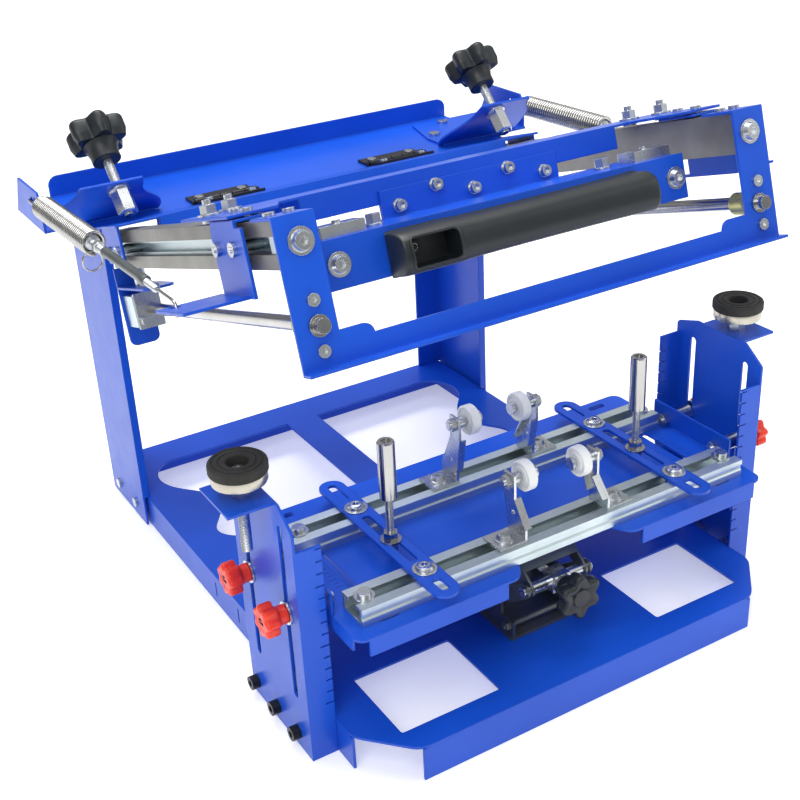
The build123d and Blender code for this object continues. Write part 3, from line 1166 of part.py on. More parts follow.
with BuildPart() as carriage_fasteners:
    add(carriage_screws.part)
    add(rod_clamps.part)
carriage_fasteners.part.label = "carriage_fasteners"
export_step(carriage_fasteners.part, "parts/carriage_fasteners.step")
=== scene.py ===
import json
import math
import random
import bpy
import bmesh
from mathutils import Vector, Matrix


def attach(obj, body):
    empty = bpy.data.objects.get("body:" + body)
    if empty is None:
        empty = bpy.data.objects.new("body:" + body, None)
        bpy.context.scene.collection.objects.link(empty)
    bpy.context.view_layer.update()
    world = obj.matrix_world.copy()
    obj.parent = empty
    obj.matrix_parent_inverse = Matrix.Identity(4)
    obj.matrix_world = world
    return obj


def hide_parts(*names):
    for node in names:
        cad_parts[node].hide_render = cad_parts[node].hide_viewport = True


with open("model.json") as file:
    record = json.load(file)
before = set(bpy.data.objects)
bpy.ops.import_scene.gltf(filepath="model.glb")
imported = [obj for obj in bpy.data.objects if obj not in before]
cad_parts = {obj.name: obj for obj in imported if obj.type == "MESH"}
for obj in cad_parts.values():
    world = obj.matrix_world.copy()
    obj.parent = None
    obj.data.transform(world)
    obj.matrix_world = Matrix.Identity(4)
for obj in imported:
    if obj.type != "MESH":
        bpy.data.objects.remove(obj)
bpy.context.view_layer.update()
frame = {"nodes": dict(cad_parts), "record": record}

NODES = frame["nodes"]

# ------------------------------------------------------------------ the press's own frames
TILT = math.radians(17.0)
CT, ST = math.cos(TILT), math.sin(TILT)
S45 = math.sqrt(0.5)


def A(x, s, n):
    """A point of the tilted arm, given in mm, as a point in metres."""
    return Vector((x, 150 - s * CT + n * ST, 305 + s * ST + n * CT)) / 1000


AX = Vector((1, 0, 0))
AF = Vector((0, -CT, ST))         # forward along the arm
AN = Vector((0, ST, CT))          # up from the arm
STEM = Vector((0, S45, S45))      # up the limit screws


def V(x, y, z):
    return Vector((x, y, z)) / 1000


def basis(axis, hint=None):
    axis = axis.normalized()
    h = Vector(hint) if hint is not None else (Vector((0, 0, 1)) if abs(axis.z) < 0.9 else Vector((1, 0, 0)))
    u = (h - axis * h.dot(axis)).normalized()
    return u, axis.cross(u), axis


# ------------------------------------------------------------------ mesh building
def mesh_object(name, verts, faces, material, smooth=True, sharp=None):
    me = bpy.data.meshes.new(name)
    me.from_pydata([tuple(v) for v in verts], [], faces)
    me.validate()
    me.update()
    bm = bmesh.new()
    bm.from_mesh(me)
    bmesh.ops.recalc_face_normals(bm, faces=bm.faces)
    for f in bm.faces:
        f.smooth = smooth
    if sharp is not None:
        for e in bm.edges:
            if len(e.link_faces) == 2 and e.calc_face_angle(0) > math.radians(sharp):
                e.smooth = False
    bm.to_mesh(me)
    bm.free()
    ob = bpy.data.objects.new(name, me)
    bpy.context.scene.collection.objects.link(ob)
    me.materials.append(material)
    return ob


def ring_stack(rings, closed_ends=True, loop=False):
    """Faces between rings of equal length, each ring a list of points."""
    verts, faces = [], []
    n = len(rings[0])
    for r in rings:
        verts += r
    m = len(rings)
    for i in range(m if loop else m - 1):
        a, b = i * n, ((i + 1) % m) * n
        for k in range(n):
            faces.append((a + k, a + (k + 1) % n, b + (k + 1) % n, b + k))
    if closed_ends and not loop:
        faces.append(tuple(range(n - 1, -1, -1)))
        faces.append(tuple((m - 1) * n + k for k in range(n)))
    return verts, faces


def lathe(name, origin, axis, profile, material, seg=48, loop=False, sharp=28):
    """Turns a profile of (radius, height) in mm about the axis."""
    u, v, w = basis(axis)
    rings = []
    for r, h in profile:
        rings.append([origin + w * (h / 1000) + (u * math.cos(2 * math.pi * k / seg) + v * math.sin(2 * math.pi * k / seg)) * (r / 1000) for k in range(seg)])
    verts, faces = ring_stack(rings, True, loop)
    return mesh_object(name, verts, faces, material, True, sharp)


def tube(name, pts, radius, material, seg=10, closed=False):
    """Round wire along points, radius in mm."""
    pts = [Vector(p) for p in pts]
    n = len(pts)
    rings = []
    t0 = (pts[1] - pts[0]).normalized()
    u = basis(t0)[0]
    for i, p in enumerate(pts):
        if closed:
            t = (pts[(i + 1) % n] - pts[i - 1]).normalized()
        else:
            t = (pts[min(i + 1, n - 1)] - pts[max(i - 1, 0)]).normalized()
        u = (u - t * u.dot(t)).normalized()
        v = t.cross(u)
        rings.append([p + (u * math.cos(2 * math.pi * k / seg) + v * math.sin(2 * math.pi * k / seg)) * (radius / 1000) for k in range(seg)])
    verts, faces = ring_stack(rings, True, closed)
    return mesh_object(name, verts, faces, material, True, 60)


def screw_thread(name, p0, axis, r, pitch, length, material, depth=None, seg=28):
    """A real V thread: r is the crest radius in mm."""
    depth = depth if depth is not None else 0.55 * pitch
    u, v, w = basis(axis)
    steps = 6
    rings = []
    count = int(length / pitch * steps)
    for i in range(count + 1):
        h = length * i / count
        ring = []
        for k in range(seg):
            a = k / seg
            f = (h / pitch - a) % 1.0
            tri = abs(2 * f - 1)
            tri = min(1.0, max(0.0, tri * 1.25 - 0.12))
            edge = min(h, length - h)
            rr = r - depth * (1 - tri) - max(0.0, 0.6 - edge)
            ring.append(p0 + w * (h / 1000) + (u * math.cos(2 * math.pi * a) + v * math.sin(2 * math.pi * a)) * (rr / 1000))
        rings.append(ring)
    verts, faces = ring_stack(rings)
    return mesh_object(name, verts, faces, material, True, 50)


def lobes(r, n, depth, count=144, power=1.0, phase=0.0):
    """Outline of a lobed knob: round lobes with scooped valleys between them."""
    out = []
    for k in range(count):
        t = 2 * math.pi * k / count
        c = 0.5 + 0.5 * math.cos(n * (t - phase))
        c = c ** power
        out.append((t, r - depth * (1 - c)))
    return out


def outline_points(outline):
    pts = [Vector((r * math.cos(t), r * math.sin(t))) for t, r in outline]
    n = len(pts)
    nor = []
    for i in range(n):
        d = pts[(i + 1) % n] - pts[i - 1]
        nor.append(Vector((d.y, -d.x)).normalized())
    return pts, nor


def lobed_solid(name, origin, axis, outline, layers, material, hint=None, sharp=40):
    """Stacks inset copies of an outline. layers: (height mm, inset mm, scale)."""
    u, v, w = basis(axis, hint)
    pts, nor = outline_points(outline)
    rings = []
    for h, inset, sc in layers:
        ring = []
        for p, q in zip(pts, nor):
            a = (p - q * inset) * sc
            ring.append(origin + (u * a.x + v * a.y + w * h) / 1000)
        rings.append(ring)
    verts, faces = ring_stack(rings)
    return mesh_object(name, verts, faces, material, True, sharp)


def rounded(h0, h1, e, steps=5):
    """Layers of a slab from h0 to h1 with edges rounded by e."""
    out = [(h0 + e * (1 - math.sin(math.pi / 2 * i / steps)), e * (1 - math.cos(math.pi / 2 * i / steps)), 1.0) for i in range(steps, -1, -1)]
    top = [(h1 - z + h0, e2, s) for z, e2, s in reversed(out)]
    return out + top


# ------------------------------------------------------------------ materials
def new_material(name):
    m = bpy.data.materials.new(name)
    m.use_nodes = True
    nt = m.node_tree
    b = nt.nodes["Principled BSDF"]
    return m, nt, b


def node(nt, kind, **kw):
    n = nt.nodes.new(kind)
    for k, val in kw.items():
        if k in n.inputs:
            n.inputs[k].default_value = val
        else:
            setattr(n, k, val)
    return n


def coords(nt, scale=(1, 1, 1), rot=(0, 0, 0)):
    tc = node(nt, "ShaderNodeTexCoord")
    mp = node(nt, "ShaderNodeMapping")
    mp.inputs["Scale"].default_value = scale
    mp.inputs["Rotation"].default_value = rot
    nt.links.new(tc.outputs["Object"], mp.inputs["Vector"])
    return mp.outputs["Vector"]


def noise(nt, vec, scale, detail=3.0, rough=0.5):
    n = node(nt, "ShaderNodeTexNoise")
    n.inputs["Scale"].default_value = scale
    n.inputs["Detail"].default_value = detail
    n.inputs["Roughness"].default_value = rough
    nt.links.new(vec, n.inputs["Vector"])
    return n.outputs["Fac"]


def ramp(nt, fac, stops):
    r = node(nt, "ShaderNodeValToRGB")
    el = r.color_ramp.elements
    while len(el) < len(stops):
        el.new(0.5)
    for e, (p, c) in zip(el, stops):
        e.position = p
        e.color = (*c, 1)
    nt.links.new(fac, r.inputs["Fac"])
    return r.outputs["Color"]


def maprange(nt, fac, lo, hi, a=0.0, b=1.0):
    r = node(nt, "ShaderNodeMapRange")
    r.inputs["From Min"].default_value = a
    r.inputs["From Max"].default_value = b
    r.inputs["To Min"].default_value = lo
    r.inputs["To Max"].default_value = hi
    nt.links.new(fac, r.inputs["Value"])
    return r.outputs["Result"]


def soft_edge(nt, radius):
    n = node(nt, "ShaderNodeBevel")
    n.samples = 4
    n.inputs["Radius"].default_value = radius
    return n.outputs["Normal"]


def bump(nt, b, height, strength, distance, edge=0.0):
    n = node(nt, "ShaderNodeBump")
    n.inputs["Strength"].default_value = strength
    n.inputs["Distance"].default_value = distance
    nt.links.new(height, n.inputs["Height"])
    if edge > 0:
        nt.links.new(soft_edge(nt, edge), n.inputs["Normal"])
    nt.links.new(n.outputs["Normal"], b.inputs["Normal"])


def powder_blue():
    m, nt, b = new_material("blue_powder")
    v = coords(nt)
    broad = noise(nt, v, 9, 2)
    col = ramp(nt, broad, [(0.3, (0.0060, 0.074, 0.54)), (0.7, (0.0088, 0.092, 0.64))])
    nt.links.new(col, b.inputs["Base Color"])
    peel = noise(nt, v, 900, 2, 0.4)
    nt.links.new(maprange(nt, noise(nt, v, 60, 4), 0.26, 0.40), b.inputs["Roughness"])
    b.inputs["Coat Weight"].default_value = 0.10
    b.inputs["Coat Roughness"].default_value = 0.20
    b.inputs["Specular IOR Level"].default_value = 0.28
    bump(nt, b, peel, 0.08, 0.0002, 0.0013)
    return m


def metal(name, c0, c1, r0, r1, grain=(1, 1, 1), gscale=220.0, strength=0.08, edge=0.0005, spangle=0.0, metallic=1.0, scratch=0.0):
    m, nt, b = new_material(name)
    v = coords(nt)
    vs = coords(nt, grain)
    n1 = noise(nt, v, 35, 4)
    col = ramp(nt, n1, [(0.3, c0), (0.7, c1)])
    if spangle:
        vo = node(nt, "ShaderNodeTexVoronoi")
        vo.inputs["Scale"].default_value = 260
        nt.links.new(v, vo.inputs["Vector"])
        mix = node(nt, "ShaderNodeMix", data_type="RGBA", blend_type="MULTIPLY")
        mix.inputs["Factor"].default_value = spangle
        nt.links.new(col, mix.inputs["A"])
        nt.links.new(ramp(nt, vo.outputs["Color"], [(0.0, (0.72, 0.74, 0.76)), (1.0, (1, 1, 1))]), mix.inputs["B"])
        col = mix.outputs["Result"]
    nt.links.new(col, b.inputs["Base Color"])
    b.inputs["Metallic"].default_value = metallic
    g = noise(nt, vs, gscale, 4, 0.6)
    nt.links.new(maprange(nt, g, r0, r1, 0.25, 0.75), b.inputs["Roughness"])
    bump(nt, b, g, strength, 0.0001, edge)
    return m


def plastic(name, c0, c1, r0, r1, gscale=1400.0, strength=0.15, edge=0.0, sss=0.0, sss_r=(1, 0.3, 0.2), coat=0.0):
    m, nt, b = new_material(name)
    v = coords(nt)
    nt.links.new(ramp(nt, noise(nt, v, 25, 3), [(0.3, c0), (0.7, c1)]), b.inputs["Base Color"])
    g = noise(nt, v, gscale, 2, 0.5)
    nt.links.new(maprange(nt, noise(nt, v, 120, 4), r0, r1, 0.25, 0.75), b.inputs["Roughness"])
    if sss:
        b.inputs["Subsurface Weight"].default_value = sss
        b.inputs["Subsurface Radius"].default_value = sss_r
        b.inputs["Subsurface Scale"].default_value = 0.002
    b.inputs["Coat Weight"].default_value = coat
    bump(nt, b, g, strength, 0.0001, edge)
    return m


M = {
    "blue_powder": powder_blue(),
    "zinc": metal("zinc", (0.56, 0.585, 0.60), (0.64, 0.665, 0.68), 0.22, 0.33, gscale=90.0, strength=0.03, edge=0.0004),
    "black_steel": metal("black_steel", (0.010, 0.010, 0.011), (0.018, 0.018, 0.02), 0.30, 0.42, metallic=0.4, strength=0.1),
    "jack_steel": metal("jack_steel", (0.13, 0.147, 0.152), (0.18, 0.197, 0.203), 0.28, 0.42, (1, 6, 6), 120, 0.05, metallic=0.75),
    "black_plastic": plastic("black_plastic", (0.0060, 0.0095, 0.012), (0.0090, 0.0135, 0.017), 0.36, 0.48, strength=0.12),
    "rubber_pad": plastic("rubber_pad", (0.016, 0.016, 0.014), (0.036, 0.035, 0.031), 0.70, 0.88, 700, 0.5),
    "galvanised": metal("galvanised", (0.56, 0.65, 0.67), (0.64, 0.72, 0.74), 0.34, 0.46, (2, 40, 40), 14, 0.04, spangle=0.08),
    "gray_rail": metal("gray_rail", (0.21, 0.205, 0.19), (0.28, 0.275, 0.26), 0.38, 0.5, (60, 3, 3), 16, 0.06, metallic=0.75),
    "bright_rod": metal("bright_rod", (0.43, 0.425, 0.415), (0.50, 0.495, 0.485), 0.12, 0.22, (30, 30, 2), 20, 0.03),
    "yellow_chromate": metal("yellow_chromate", (0.42, 0.42, 0.12), (0.72, 0.66, 0.34), 0.24, 0.40, strength=0.1),
    "white_nylon": plastic("white_nylon", (0.80, 0.82, 0.82), (0.88, 0.89, 0.88), 0.28, 0.4, 500, 0.06, 0.0005, 0.25, (1, 0.9, 0.8)),
    "red_plastic": plastic("red_plastic", (0.78, 0.030, 0.010), (0.88, 0.045, 0.014), 0.26, 0.38, 500, 0.06, 0.0, 0.12),
}

for s in frame["record"]["subparts"]:
    ob = NODES[s["node"]]
    mat = M[s["material_slot"]]
    if not ob.data.materials:
        ob.data.materials.append(mat)
    for i in range(len(ob.material_slots)):
        ob.material_slots[i].material = mat


def piece(ob, body, slot, *nodes):
    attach(ob, body)
    if nodes:
        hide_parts(*nodes)
    return ob


# ------------------------------------------------------------------ black star knobs of the limit screws
def star_knob(name, base, axis, r, t, hub_r, hub_h, body, *nodes, depth=0.27, hint=None, slot="black_plastic", e=4.0):
    """base is the foot of the hub; the lobed head stands on it."""
    out = lobes(r, 6, r * depth, 168, 0.75)
    h0, h1 = hub_h, hub_h + t
    layers = [(h0, e + 2.2, 1.0), (h0 + 0.3, e * 0.55, 1.0)]
    for i in range(1, 6):
        a = math.pi / 2 * i / 6
        layers.append((h0 + 0.3 + (t * 0.32) * math.sin(a), e * 0.55 * (1 - math.sin(a)) , 1.0))
    layers.append((h1 - e * 1.1, 0, 1.0))
    for i in range(1, 9):
        a = math.pi / 2 * i / 8
        layers.append((h1 - e * 1.1 + e * 1.1 * math.sin(a), e * (1 - math.cos(a)), 1.0))
    layers.append((h1 - 0.6, e + 2.5, 1.0))
    layers.append((h1 - 1.6, e + 4.0, 0.9))
    head = lobed_solid(name, base, axis, out, layers, M[slot], hint)
    piece(head, body, slot, *nodes)
    # hub with a flared skirt
    hub = lathe(name + "_hub", base, axis, [(hub_r * 0.55, 0), (hub_r * 0.92, 0), (hub_r, 0.6), (hub_r, hub_h * 0.45), (hub_r * 1.12, hub_h * 0.8), (hub_r * 1.35, hub_h + 1.2)], M[slot], 48)
    piece(hub, body, slot)
    cap = lathe(name + "_cap", base + axis.normalized() * ((h1 - 1.8) / 1000), axis, [(r * 0.40, 0), (r * 0.40, 1.0), (r * 0.37, 1.7), (r * 0.2, 2.0), (0.05, 2.1)], M[slot], 48)
    piece(cap, body, slot)
    return head


for side, m in (("left", -1), ("right", 1)):
    ref = V(m * 184.5, 132.4, 337.4)
    star_knob(f"star_knob_{side}", ref + STEM * 0.027, STEM, 25, 20, 12, 15, f"limit_grip_{side}", f"limit_knob_{side}")
    th = screw_thread(f"limit_thread_{side}", ref - STEM * 0.0245, STEM, 4.05, 1.25, 53, M["zinc"])
    piece(th, f"limit_{side}", "zinc")

# ------------------------------------------------------------------ jack knob and screw
RY, JY = -157.0, 12.0 + math.sqrt(47.8 ** 2 - 29.0 ** 2)
yF, yR, zJ = RY - JY, RY + JY, 79.0
star_knob("jack_star", V(0, yF - 18, zJ), Vector((0, -1, 0)), 19, 12, 9, 2.2, "jack_screw", "jack_knob", e=3.0)
th = screw_thread("jack_thread", V(0, yF - 18, zJ), Vector((0, 1, 0)), 3.5, 1.25, yR - yF + 30, M["zinc"])
piece(th, "jack_screw", "zinc")
hubj = lathe("jack_collar", V(0, yF - 7.4, zJ), Vector((0, -1, 0)), [(3.4, 0), (6, 0), (6.2, 0.4), (6.2, 2.6), (5.8, 3.0), (3.4, 3.0)], M["zinc"], 40)
piece(hubj, "jack_screw", "zinc")
hub2 = lathe("jack_hub", V(0, yF - 10.4, zJ), Vector((0, -1, 0)), [(3.4, 0), (8.2, 0), (9, 0.8), (9, 7.5), (3.4, 8.2)], M["black_plastic"], 40)
piece(hub2, "jack_screw", "black_plastic")

# ------------------------------------------------------------------ red lock knobs
def lock_knob(name, m, y, body, node_name):
    ax = Vector((m, 0, 0))
    base = V(m * 213.0, y, 121)
    out = lobes(12.6, 7, 2.7, 168, 0.8, math.radians(20))
    layers = [(8.0, 4.6, 1.0), (8.0, 1.4, 1.0), (8.4, 0.6, 1.0), (9.2, 0, 1.0), (16.6, 0, 1.0)]
    for i in range(1, 7):
        a = math.pi / 2 * i / 6
        layers.append((16.6 + 2.2 * math.sin(a), 2.2 * (1 - math.cos(a)), 1.0))
    layers += [(18.9, 3.6, 1.0), (18.4, 4.4, 1.0), (18.3, 6.4, 0.9)]
    head = lobed_solid(name, base, ax, out, layers, M["red_plastic"], (0, 0, 1))
    piece(head, body, "red_plastic", node_name)
    hub = lathe(name + "_hub", base, ax, [(3.4, 0), (6.6, 0), (7.0, 0.5), (7.0, 5.5), (8.8, 8.6)], M["red_plastic"], 48)
    piece(hub, body, "red_plastic")
    ins = lathe(name + "_insert", base, ax, [(3.2, -0.2), (4.4, -0.2), (4.4, 0.3), (3.2, 0.3)], M["zinc"], 32)
    piece(ins, body, "zinc")


for side, m in (("left", -1), ("right", 1)):
    for fr, y in (("front", -181), ("rear", -121)):
        lock_knob(f"red_knob_{side}_{fr}", m, y, f"lock_{side}_{fr}", f"lock_knob_{side}_{fr}")

# ------------------------------------------------------------------ rubber rest feet
CUP = metal("cup_metal", (0.43, 0.40, 0.34), (0.53, 0.50, 0.43), 0.22, 0.34, gscale=90.0, strength=0.03)
for side, m in (("left", -1), ("right", 1)):
    up = Vector((0, 0, 1))
    c = V(m * 224, -154, 0)
    pad = lathe(f"rubber_foot_{side}", c, up, [(17.6, 221), (17.6, 225.2), (20.0, 225.6), (20.5, 226.4), (20.5, 231.2), (20.2, 232.2), (19.2, 232.9), (17.6, 233.0), (17.2, 232.3), (16.6, 232.3), (16.2, 233.0), (13.4, 233.0), (13.0, 232.3), (12.4, 232.3), (12.0, 233.0), (9.0, 233.0), (8.0, 232.5), (7.6, 231.5), (7.5, 226.0), (6.0, 225.2), (0.02, 225.0)], M["rubber_pad"], 72)
    piece(pad, f"foot_{side}", "rubber_pad", f"rest_pad_{side}")
    cup = lathe(f"foot_cup_{side}", c, up, [(4.0, 213.8), (7.9, 213.8), (8.5, 214.4), (8.5, 217.2), (9.4, 218.0), (18.4, 218.0), (19.2, 218.4), (19.5, 219.2), (19.5, 225.5), (19.3, 225.9), (18.0, 225.9), (17.8, 225.4), (17.8, 220.2), (4.0, 220.0)], CUP, 72)
    piece(cup, f"foot_{side}", "zinc", f"rest_stud_{side}")
    th = screw_thread(f"foot_thread_{side}", c + V(0, 0, 162.6), up, 4.04, 1.25, 52, M["zinc"])
    piece(th, f"foot_{side}", "zinc")
    cen = lathe(f"foot_screw_{side}", c, up, [(5.2, 225.2), (5.2, 226.6), (4.4, 227.4), (2.0, 227.5), (1.8, 226.6), (0.02, 226.6)], M["zinc"], 40)
    piece(cen, f"foot_{side}", "zinc")

# ------------------------------------------------------------------ return springs
def helix(p0, axis, R, z0, z1, turns, phase=0.0, per=28):
    u, v, w = basis(axis)
    n = int(turns * per)
    return [p0 + w * ((z0 + (z1 - z0) * i / n) / 1000) + (u * math.cos(2 * math.pi * i / per + phase) + v * math.sin(2 * math.pi * i / per + phase)) * (R / 1000) for i in range(n + 1)]


def spring(side, m):
    body = f"return_spring_{side}"
    p1 = V(m * 241, 186, 327)
    q = A(m * 238, 262, -47)
    d = (q - p1)
    ln = d.length * 1000
    d.normalize()
    u, v, w = basis(d)
    mm = 0.001
    wire = 1.35
    # coil with its last half turn drawn in to a hook
    pts = helix(p1, d, 8.5, 29, 148, 36.5, 0.0)
    last_start = pts[0]
    # start hook: from the coil's first point to the wing hole
    hook = []
    for t in range(9):
        f = t / 8
        a = -math.pi * 0.5 * f
        R = 8.45 * (1 - f * 0.75)
        hook.append(p1 + w * ((29 - 5.0 * f) * mm) + (u * math.cos(a) + v * math.sin(a)) * (R * mm))
    run = [p1 + w * (21 * mm) + Vector((m * 3.0, 0, 0)) * mm, p1 + w * (14 * mm) + Vector((m * 3.7, 0, 0)) * mm, p1 + w * (4 * mm) + Vector((m * 3.7, 0, 0)) * mm,
           p1 + w * (-0.5 * mm) + Vector((m * 3.0, 0, 0)) * mm, p1 + w * (-1.2 * mm) + Vector((m * 0.6, 0, 0)) * mm, p1 + w * (-0.4 * mm) + Vector((-m * 2.0, 0, 0)) * mm,
           p1 + w * (3.5 * mm) + Vector((-m * 3.0, 0, 0)) * mm]
    whole = list(reversed(run)) + list(reversed(hook)) + pts[1:]
    coil = tube(f"coil_{side}", whole, wire, M["bright_rod"], 10)
    piece(coil, body, "bright_rod", f"spring_{side}")
    # plug inside the coil's far end, rod, turnbuckle and hook
    prof = [(6.2, 138), (6.2, 145.5), (5.6, 146.4), (2.6, 146.8), (2.6, 178)]
    plug = lathe(f"spring_plug_{side}", p1, d, prof, M["zinc"], 36)
    piece(plug, body, "zinc")
    nut_c = 158
    hexp = []
    for h, rr in ((nut_c - 3, 4.3), (nut_c - 2.5, 4.8), (nut_c + 2.5, 4.8), (nut_c + 3, 4.3)):
        hexp.append([p1 + w * (h * mm) + (u * math.cos(math.pi / 3 * k) + v * math.sin(math.pi / 3 * k)) * (rr * mm) for k in range(6)])
    vv, ff = ring_stack(hexp)
    nut = mesh_object(f"spring_nut_{side}", vv, ff, M["zinc"], False)
    piece(nut, body, "zinc")
    body_p = [(2.6, 172), (3.9, 173), (4.2, 177), (3.6, 180), (3.6, 242), (4.1, 245), (4.1, 251), (3.7, 252.5), (2.6, 253)]
    barrel = lathe(f"turnbuckle_{side}", p1, d, body_p, M["jack_steel"], 36)
    piece(barrel, body, "jack_steel")
    t1 = screw_thread(f"adjuster_thread_{side}", p1 + w * (252 * mm), d, 2.7, 1.0, 20, M["zinc"], seg=20)
    piece(t1, body, "zinc")
    t2 = screw_thread(f"adjuster_thread_b_{side}", p1 + w * (146.5 * mm), d, 2.9, 1.0, 27, M["zinc"], seg=20)
    piece(t2, body, "zinc")
    # closing hook through the bracket tab
    tip = p1 + w * ((ln - 1.0) * mm)
    h0 = p1 + w * (270 * mm)
    down = -AN
    hk = [h0, p1 + w * ((ln - 12) * mm), p1 + w * ((ln - 6) * mm), tip + down * 0.0004, tip + w * 0.0022 + down * 0.003, tip + w * 0.0026 + down * 0.0065,
          tip + w * 0.0010 + down * 0.0095, tip - w * 0.0025 + down * 0.0105, tip - w * 0.0065 + down * 0.0098]
    hkt = tube(f"spring_hook_{side}", smooth_line(hk, 4), 1.2, M["bright_rod"], 10)
    piece(hkt, body, "bright_rod")
    if m < 0:
        # spare split ring hanging from the coil's end hook
        rc = p1 + w * (147 * mm) + Vector((-2.6, 0, -13.5)) * mm
        ring = []
        for k in range(72):
            a = 4 * math.pi * k / 72
            off = (k / 72 - 0.5) * 1.6
            ring.append(rc + Vector((math.cos(a) * 7.6 * mm, off * mm, math.sin(a) * 7.6 * mm)))
        rg = tube("split_ring", ring, 0.65, M["bright_rod"], 8)
        piece(rg, body, "bright_rod")


def smooth_line(pts, per=6):
    """Catmull-Rom through the points."""
    pts = [Vector(p) for p in pts]
    out = []
    n = len(pts)
    for i in range(n - 1):
        p0, p1, p2, p3 = pts[max(i - 1, 0)], pts[i], pts[i + 1], pts[min(i + 2, n - 1)]
        for k in range(per):
            t = k / per
            out.append(0.5 * ((2 * p1) + (p2 - p0) * t + (2 * p0 - 5 * p1 + 4 * p2 - p3) * t * t + (3 * p1 - p0 - 3 * p2 + p3) * t ** 3))
    out.append(pts[-1])
    return out


for side, m in (("left", -1), ("right", 1)):
    spring(side, m)

# ------------------------------------------------------------------ pull handle
def handle():
    # cross-section (s, n) in the arm frame, swept along x; square left end, slim middle
    sec = [(311.2, -34.0), (312.0, -32.8), (318, -32.6), (326, -33.2), (331.8, -35.8), (335.4, -40.0), (336.6, -46.5), (336.2, -53.5), (333.6, -58.8), (329.0, -61.2), (322, -62.0), (312.0, -61.8), (311.2, -60.8)]
    cs, cn = 322.0, -47.4
    stations = [(-106.0, 0.90), (-105.6, 0.945), (-104.6, 0.975), (-102.4, 0.995), (-99.0, 1.0), (-66.0, 1.0), (-60.0, 0.985), (-52.0, 0.955), (-30.0, 0.945), (0, 0.94), (40, 0.945), (72, 0.955), (86, 0.97), (97, 0.992), (102.5, 1.0), (104.6, 0.985), (105.6, 0.95), (106.0, 0.90)]
    dense = smooth_section(sec, 4)
    rings = []
    for x, k in stations:
        rings.append([A(x, max(311.2, cs + (s - cs) * k), cn + (nn - cn) * k) for s, nn in dense])
    verts, faces = ring_stack(rings)
    ob = mesh_object("grip", verts, faces, M["black_plastic"], True, 45)
    # rectangular pocket over the left screw
    px, w2, h2, rad = -82.0, 17.6, 9.4, 2.4

    def rim(g):
        out = []
        for cx, cy, a0 in ((w2 - rad, h2 - rad, 0), (-(w2 - rad), h2 - rad, 90), (-(w2 - rad), -(h2 - rad), 180), (w2 - rad, -(h2 - rad), 270)):
            for k in range(5):
                a = math.radians(a0 + 90 * k / 4)
                out.append((px + cx + (rad + g) * math.cos(a), -47.6 + cy + (rad + g) * math.sin(a)))
        return out

    cv, cf = ring_stack([[A(x, 318.0, n) for x, n in rim(-0.6)], [A(x, 346.0, n) for x, n in rim(1.4)]])
    cut = mesh_object("cutter", cv, cf, M["black_plastic"], False)
    bpy.context.view_layer.update()
    md = ob.modifiers.new("pocket", "BOOLEAN")
    md.operation = "DIFFERENCE"
    md.solver = "EXACT"
    md.object = cut
    bpy.context.view_layer.update()
    dg = bpy.context.evaluated_depsgraph_get()
    me = bpy.data.meshes.new_from_object(ob.evaluated_get(dg))
    ob.modifiers.clear()
    ob.data = me
    bpy.data.objects.remove(cut)
    bv = ob.modifiers.new("round", "BEVEL")
    bv.width = 0.0008
    bv.segments = 2
    bv.limit_method = "ANGLE"
    bv.angle_limit = math.radians(50)
    piece(ob, "arm", "black_plastic", "pull_handle")
    # raised lip round the pocket, lying on the curved front
    front = [(s, n) for s, n in dense if s > 324]
    front.sort(key=lambda q: q[1])

    def s_at(n):
        for (s0, n0), (s1, n1) in zip(front, front[1:]):
            if n0 <= n <= n1 and n1 > n0:
                return s0 + (s1 - s0) * (n - n0) / (n1 - n0)
        return front[0][0]

    lip = []
    corner = rim(1.0)
    for i, (x, n) in enumerate(corner):
        x1, n1 = corner[(i + 1) % len(corner)]
        steps = 10 if abs(x1 - x) + abs(n1 - n) > 4 else 1
        for k in range(steps):
            f = k / steps
            nn = n + (n1 - n) * f
            lip.append(A(x + (x1 - x) * f, s_at(nn) - 0.1, nn))
    lp = tube("grip_lip", lip, 1.05, M["black_plastic"], 10, True)
    piece(lp, "arm", "black_plastic")
    # black cap screw at the pocket's outer end
    hx = [(5.0, 0), (5.0, 4.2), (4.6, 4.9), (2.9, 5.0), (2.5, 4.6), (2.4, 3.4), (0.02, 3.4)]
    sc = lathe("grip_screw", A(-90, 316.4, -45), AF, hx, M["black_steel"], 40)
    piece(sc, "arm", "black_steel")


def smooth_section(sec, per):
    n = len(sec)
    out = []
    for i in range(n):
        p0, p1, p2, p3 = (Vector(sec[(i + k) % n]) for k in (-1, 0, 1, 2))
        if i in (n - 1,):
            out.append(tuple(p1))
            continue
        for k in range(per):
            t = k / per
            q = 0.5 * ((2 * p1) + (p2 - p0) * t + (2 * p0 - 5 * p1 + 4 * p2 - p3) * t * t + (3 * p1 - p0 - 3 * p2 + p3) * t ** 3)
            out.append((max(311.2, q.x), q.y))
    return out


handle()

# ------------------------------------------------------------------ threads on the stop posts
for side, m in (("left", -1), ("right", 1)):
    t = screw_thread(f"post_thread_{side}", V(m * 115, -160, 131.5), Vector((0, 0, 1)), 3.05, 1.0, 38, M["zinc"], seg=22)
    piece(t, f"post_{side}", "zinc")

# ------------------------------------------------------------------ zinc screws of the straps
for side, m in (("left", -1), ("right", 1)):
    for fr, y in (("front", -206), ("rear", -108)):
        sc = lathe(f"strap_screw_{side}_{fr}", V(m * 115, y, 132.5), Vector((0, 0, 1)), [(9.15, -0.05), (9.15, 1.1), (8.9, 1.32), (6.75, 1.36), (6.7, 2.2), (6.2, 3.4), (5.2, 4.2), (3.6, 4.6), (2.4, 4.66), (2.2, 4.4), (2.1, 2.6), (0.02, 2.6)], M["zinc"], 48)
        piece(sc, f"cross_strap_{side}", "zinc")

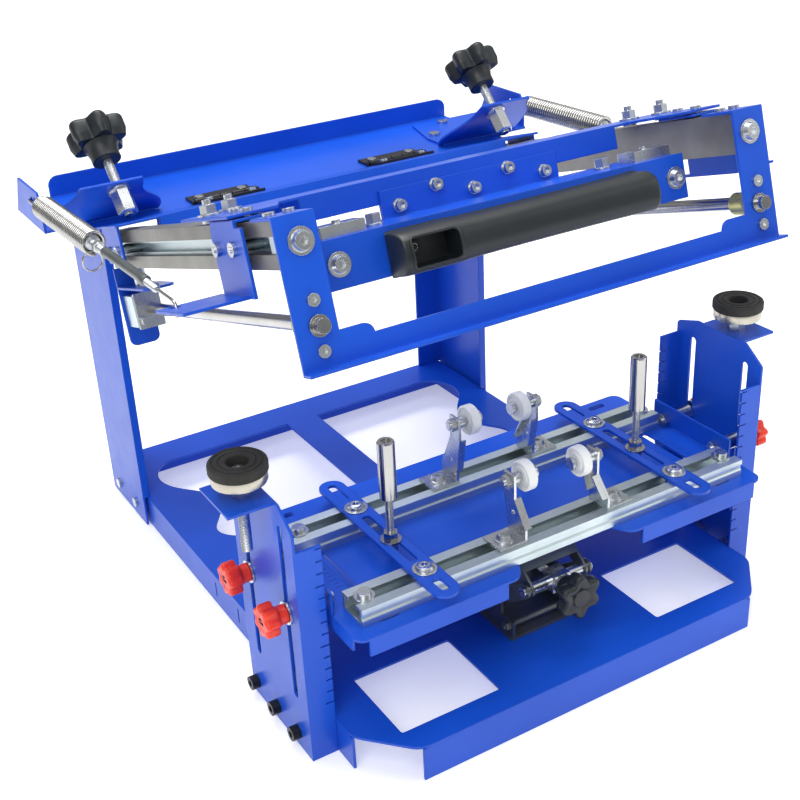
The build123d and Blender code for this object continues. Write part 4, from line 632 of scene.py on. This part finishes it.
# ------------------------------------------------------------------ studio
floor_me = bpy.data.meshes.new("floor")
floor_me.from_pydata([(-9, -9, -0.0002), (9, -9, -0.0002), (9, 9, -0.0002), (-9, 9, -0.0002)], [], [(0, 1, 2, 3)])
floor = bpy.data.objects.new("floor", floor_me)
bpy.context.scene.collection.objects.link(floor)
fm, fnt, fb = new_material("floor_paint")
fb.inputs["Roughness"].default_value = 0.8
fb.inputs["Emission Color"].default_value = (1, 1, 1, 1)
fb.inputs["Emission Strength"].default_value = 0.40
fv = coords(fnt)
fnt.links.new(ramp(fnt, noise(fnt, fv, 3, 2), [(0.0, (0.86, 0.86, 0.86)), (1.0, (0.9, 0.9, 0.9))]), fb.inputs["Base Color"])
floor_me.materials.append(fm)

world = bpy.data.worlds.new("studio")
bpy.context.scene.world = world
world.use_nodes = True
wnt = world.node_tree
wtc = node(wnt, "ShaderNodeTexCoord")
wsep = node(wnt, "ShaderNodeSeparateXYZ")
wnt.links.new(wtc.outputs["Generated"], wsep.inputs["Vector"])
wnt.links.new(ramp(wnt, wsep.outputs["Z"], [(0.0, (0.30, 0.31, 0.32)), (0.12, (0.38, 0.39, 0.40)), (0.45, (0.62, 0.62, 0.62)), (0.8, (0.95, 0.95, 0.95))]), wnt.nodes["Background"].inputs["Color"])
wnt.nodes["Background"].inputs["Strength"].default_value = 0.75


def area(name, loc, target, size, power, size_y=None):
    l = bpy.data.lights.new(name, "AREA")
    l.energy = power
    l.size = size
    if size_y:
        l.shape = "RECTANGLE"
        l.size_y = size_y
    o = bpy.data.objects.new(name, l)
    bpy.context.scene.collection.objects.link(o)
    d = Vector(target) - Vector(loc)
    o.rotation_euler = d.to_track_quat("-Z", "Y").to_euler()
    o.location = loc
    return o


area("key", (-1.3, -1.2, 1.9), (0, 0, 0.2), 1.2, 19)
area("fill", (1.8, -1.0, 1.3), (0, 0, 0.2), 1.4, 8)
area("top", (0.1, 0.5, 2.3), (0, 0, 0.2), 1.6, 42)

# ------------------------------------------------------------------ camera
cam_data = bpy.data.cameras.new("camera")
cam_data.lens = 57.6
cam_data.sensor_width = 36
cam_data.sensor_fit = "HORIZONTAL"
cam_data.clip_start = 0.01
cam = bpy.data.objects.new("camera", cam_data)
bpy.context.scene.collection.objects.link(cam)
right = Vector((0.85405694, -0.51819107, -0.04543966))
down = Vector((-0.27214681, -0.37067134, -0.88799711))
fwd = Vector((0.44330899, 0.77076635, -0.45759848))
rot = Matrix((right, -down, -fwd)).transposed()
cam.matrix_world = Matrix.Translation(Vector((-0.495032, -0.844327, 0.649144))) @ rot.to_4x4()
bpy.context.scene.camera = cam
bpy.context.scene.view_settings.view_transform = "Standard"
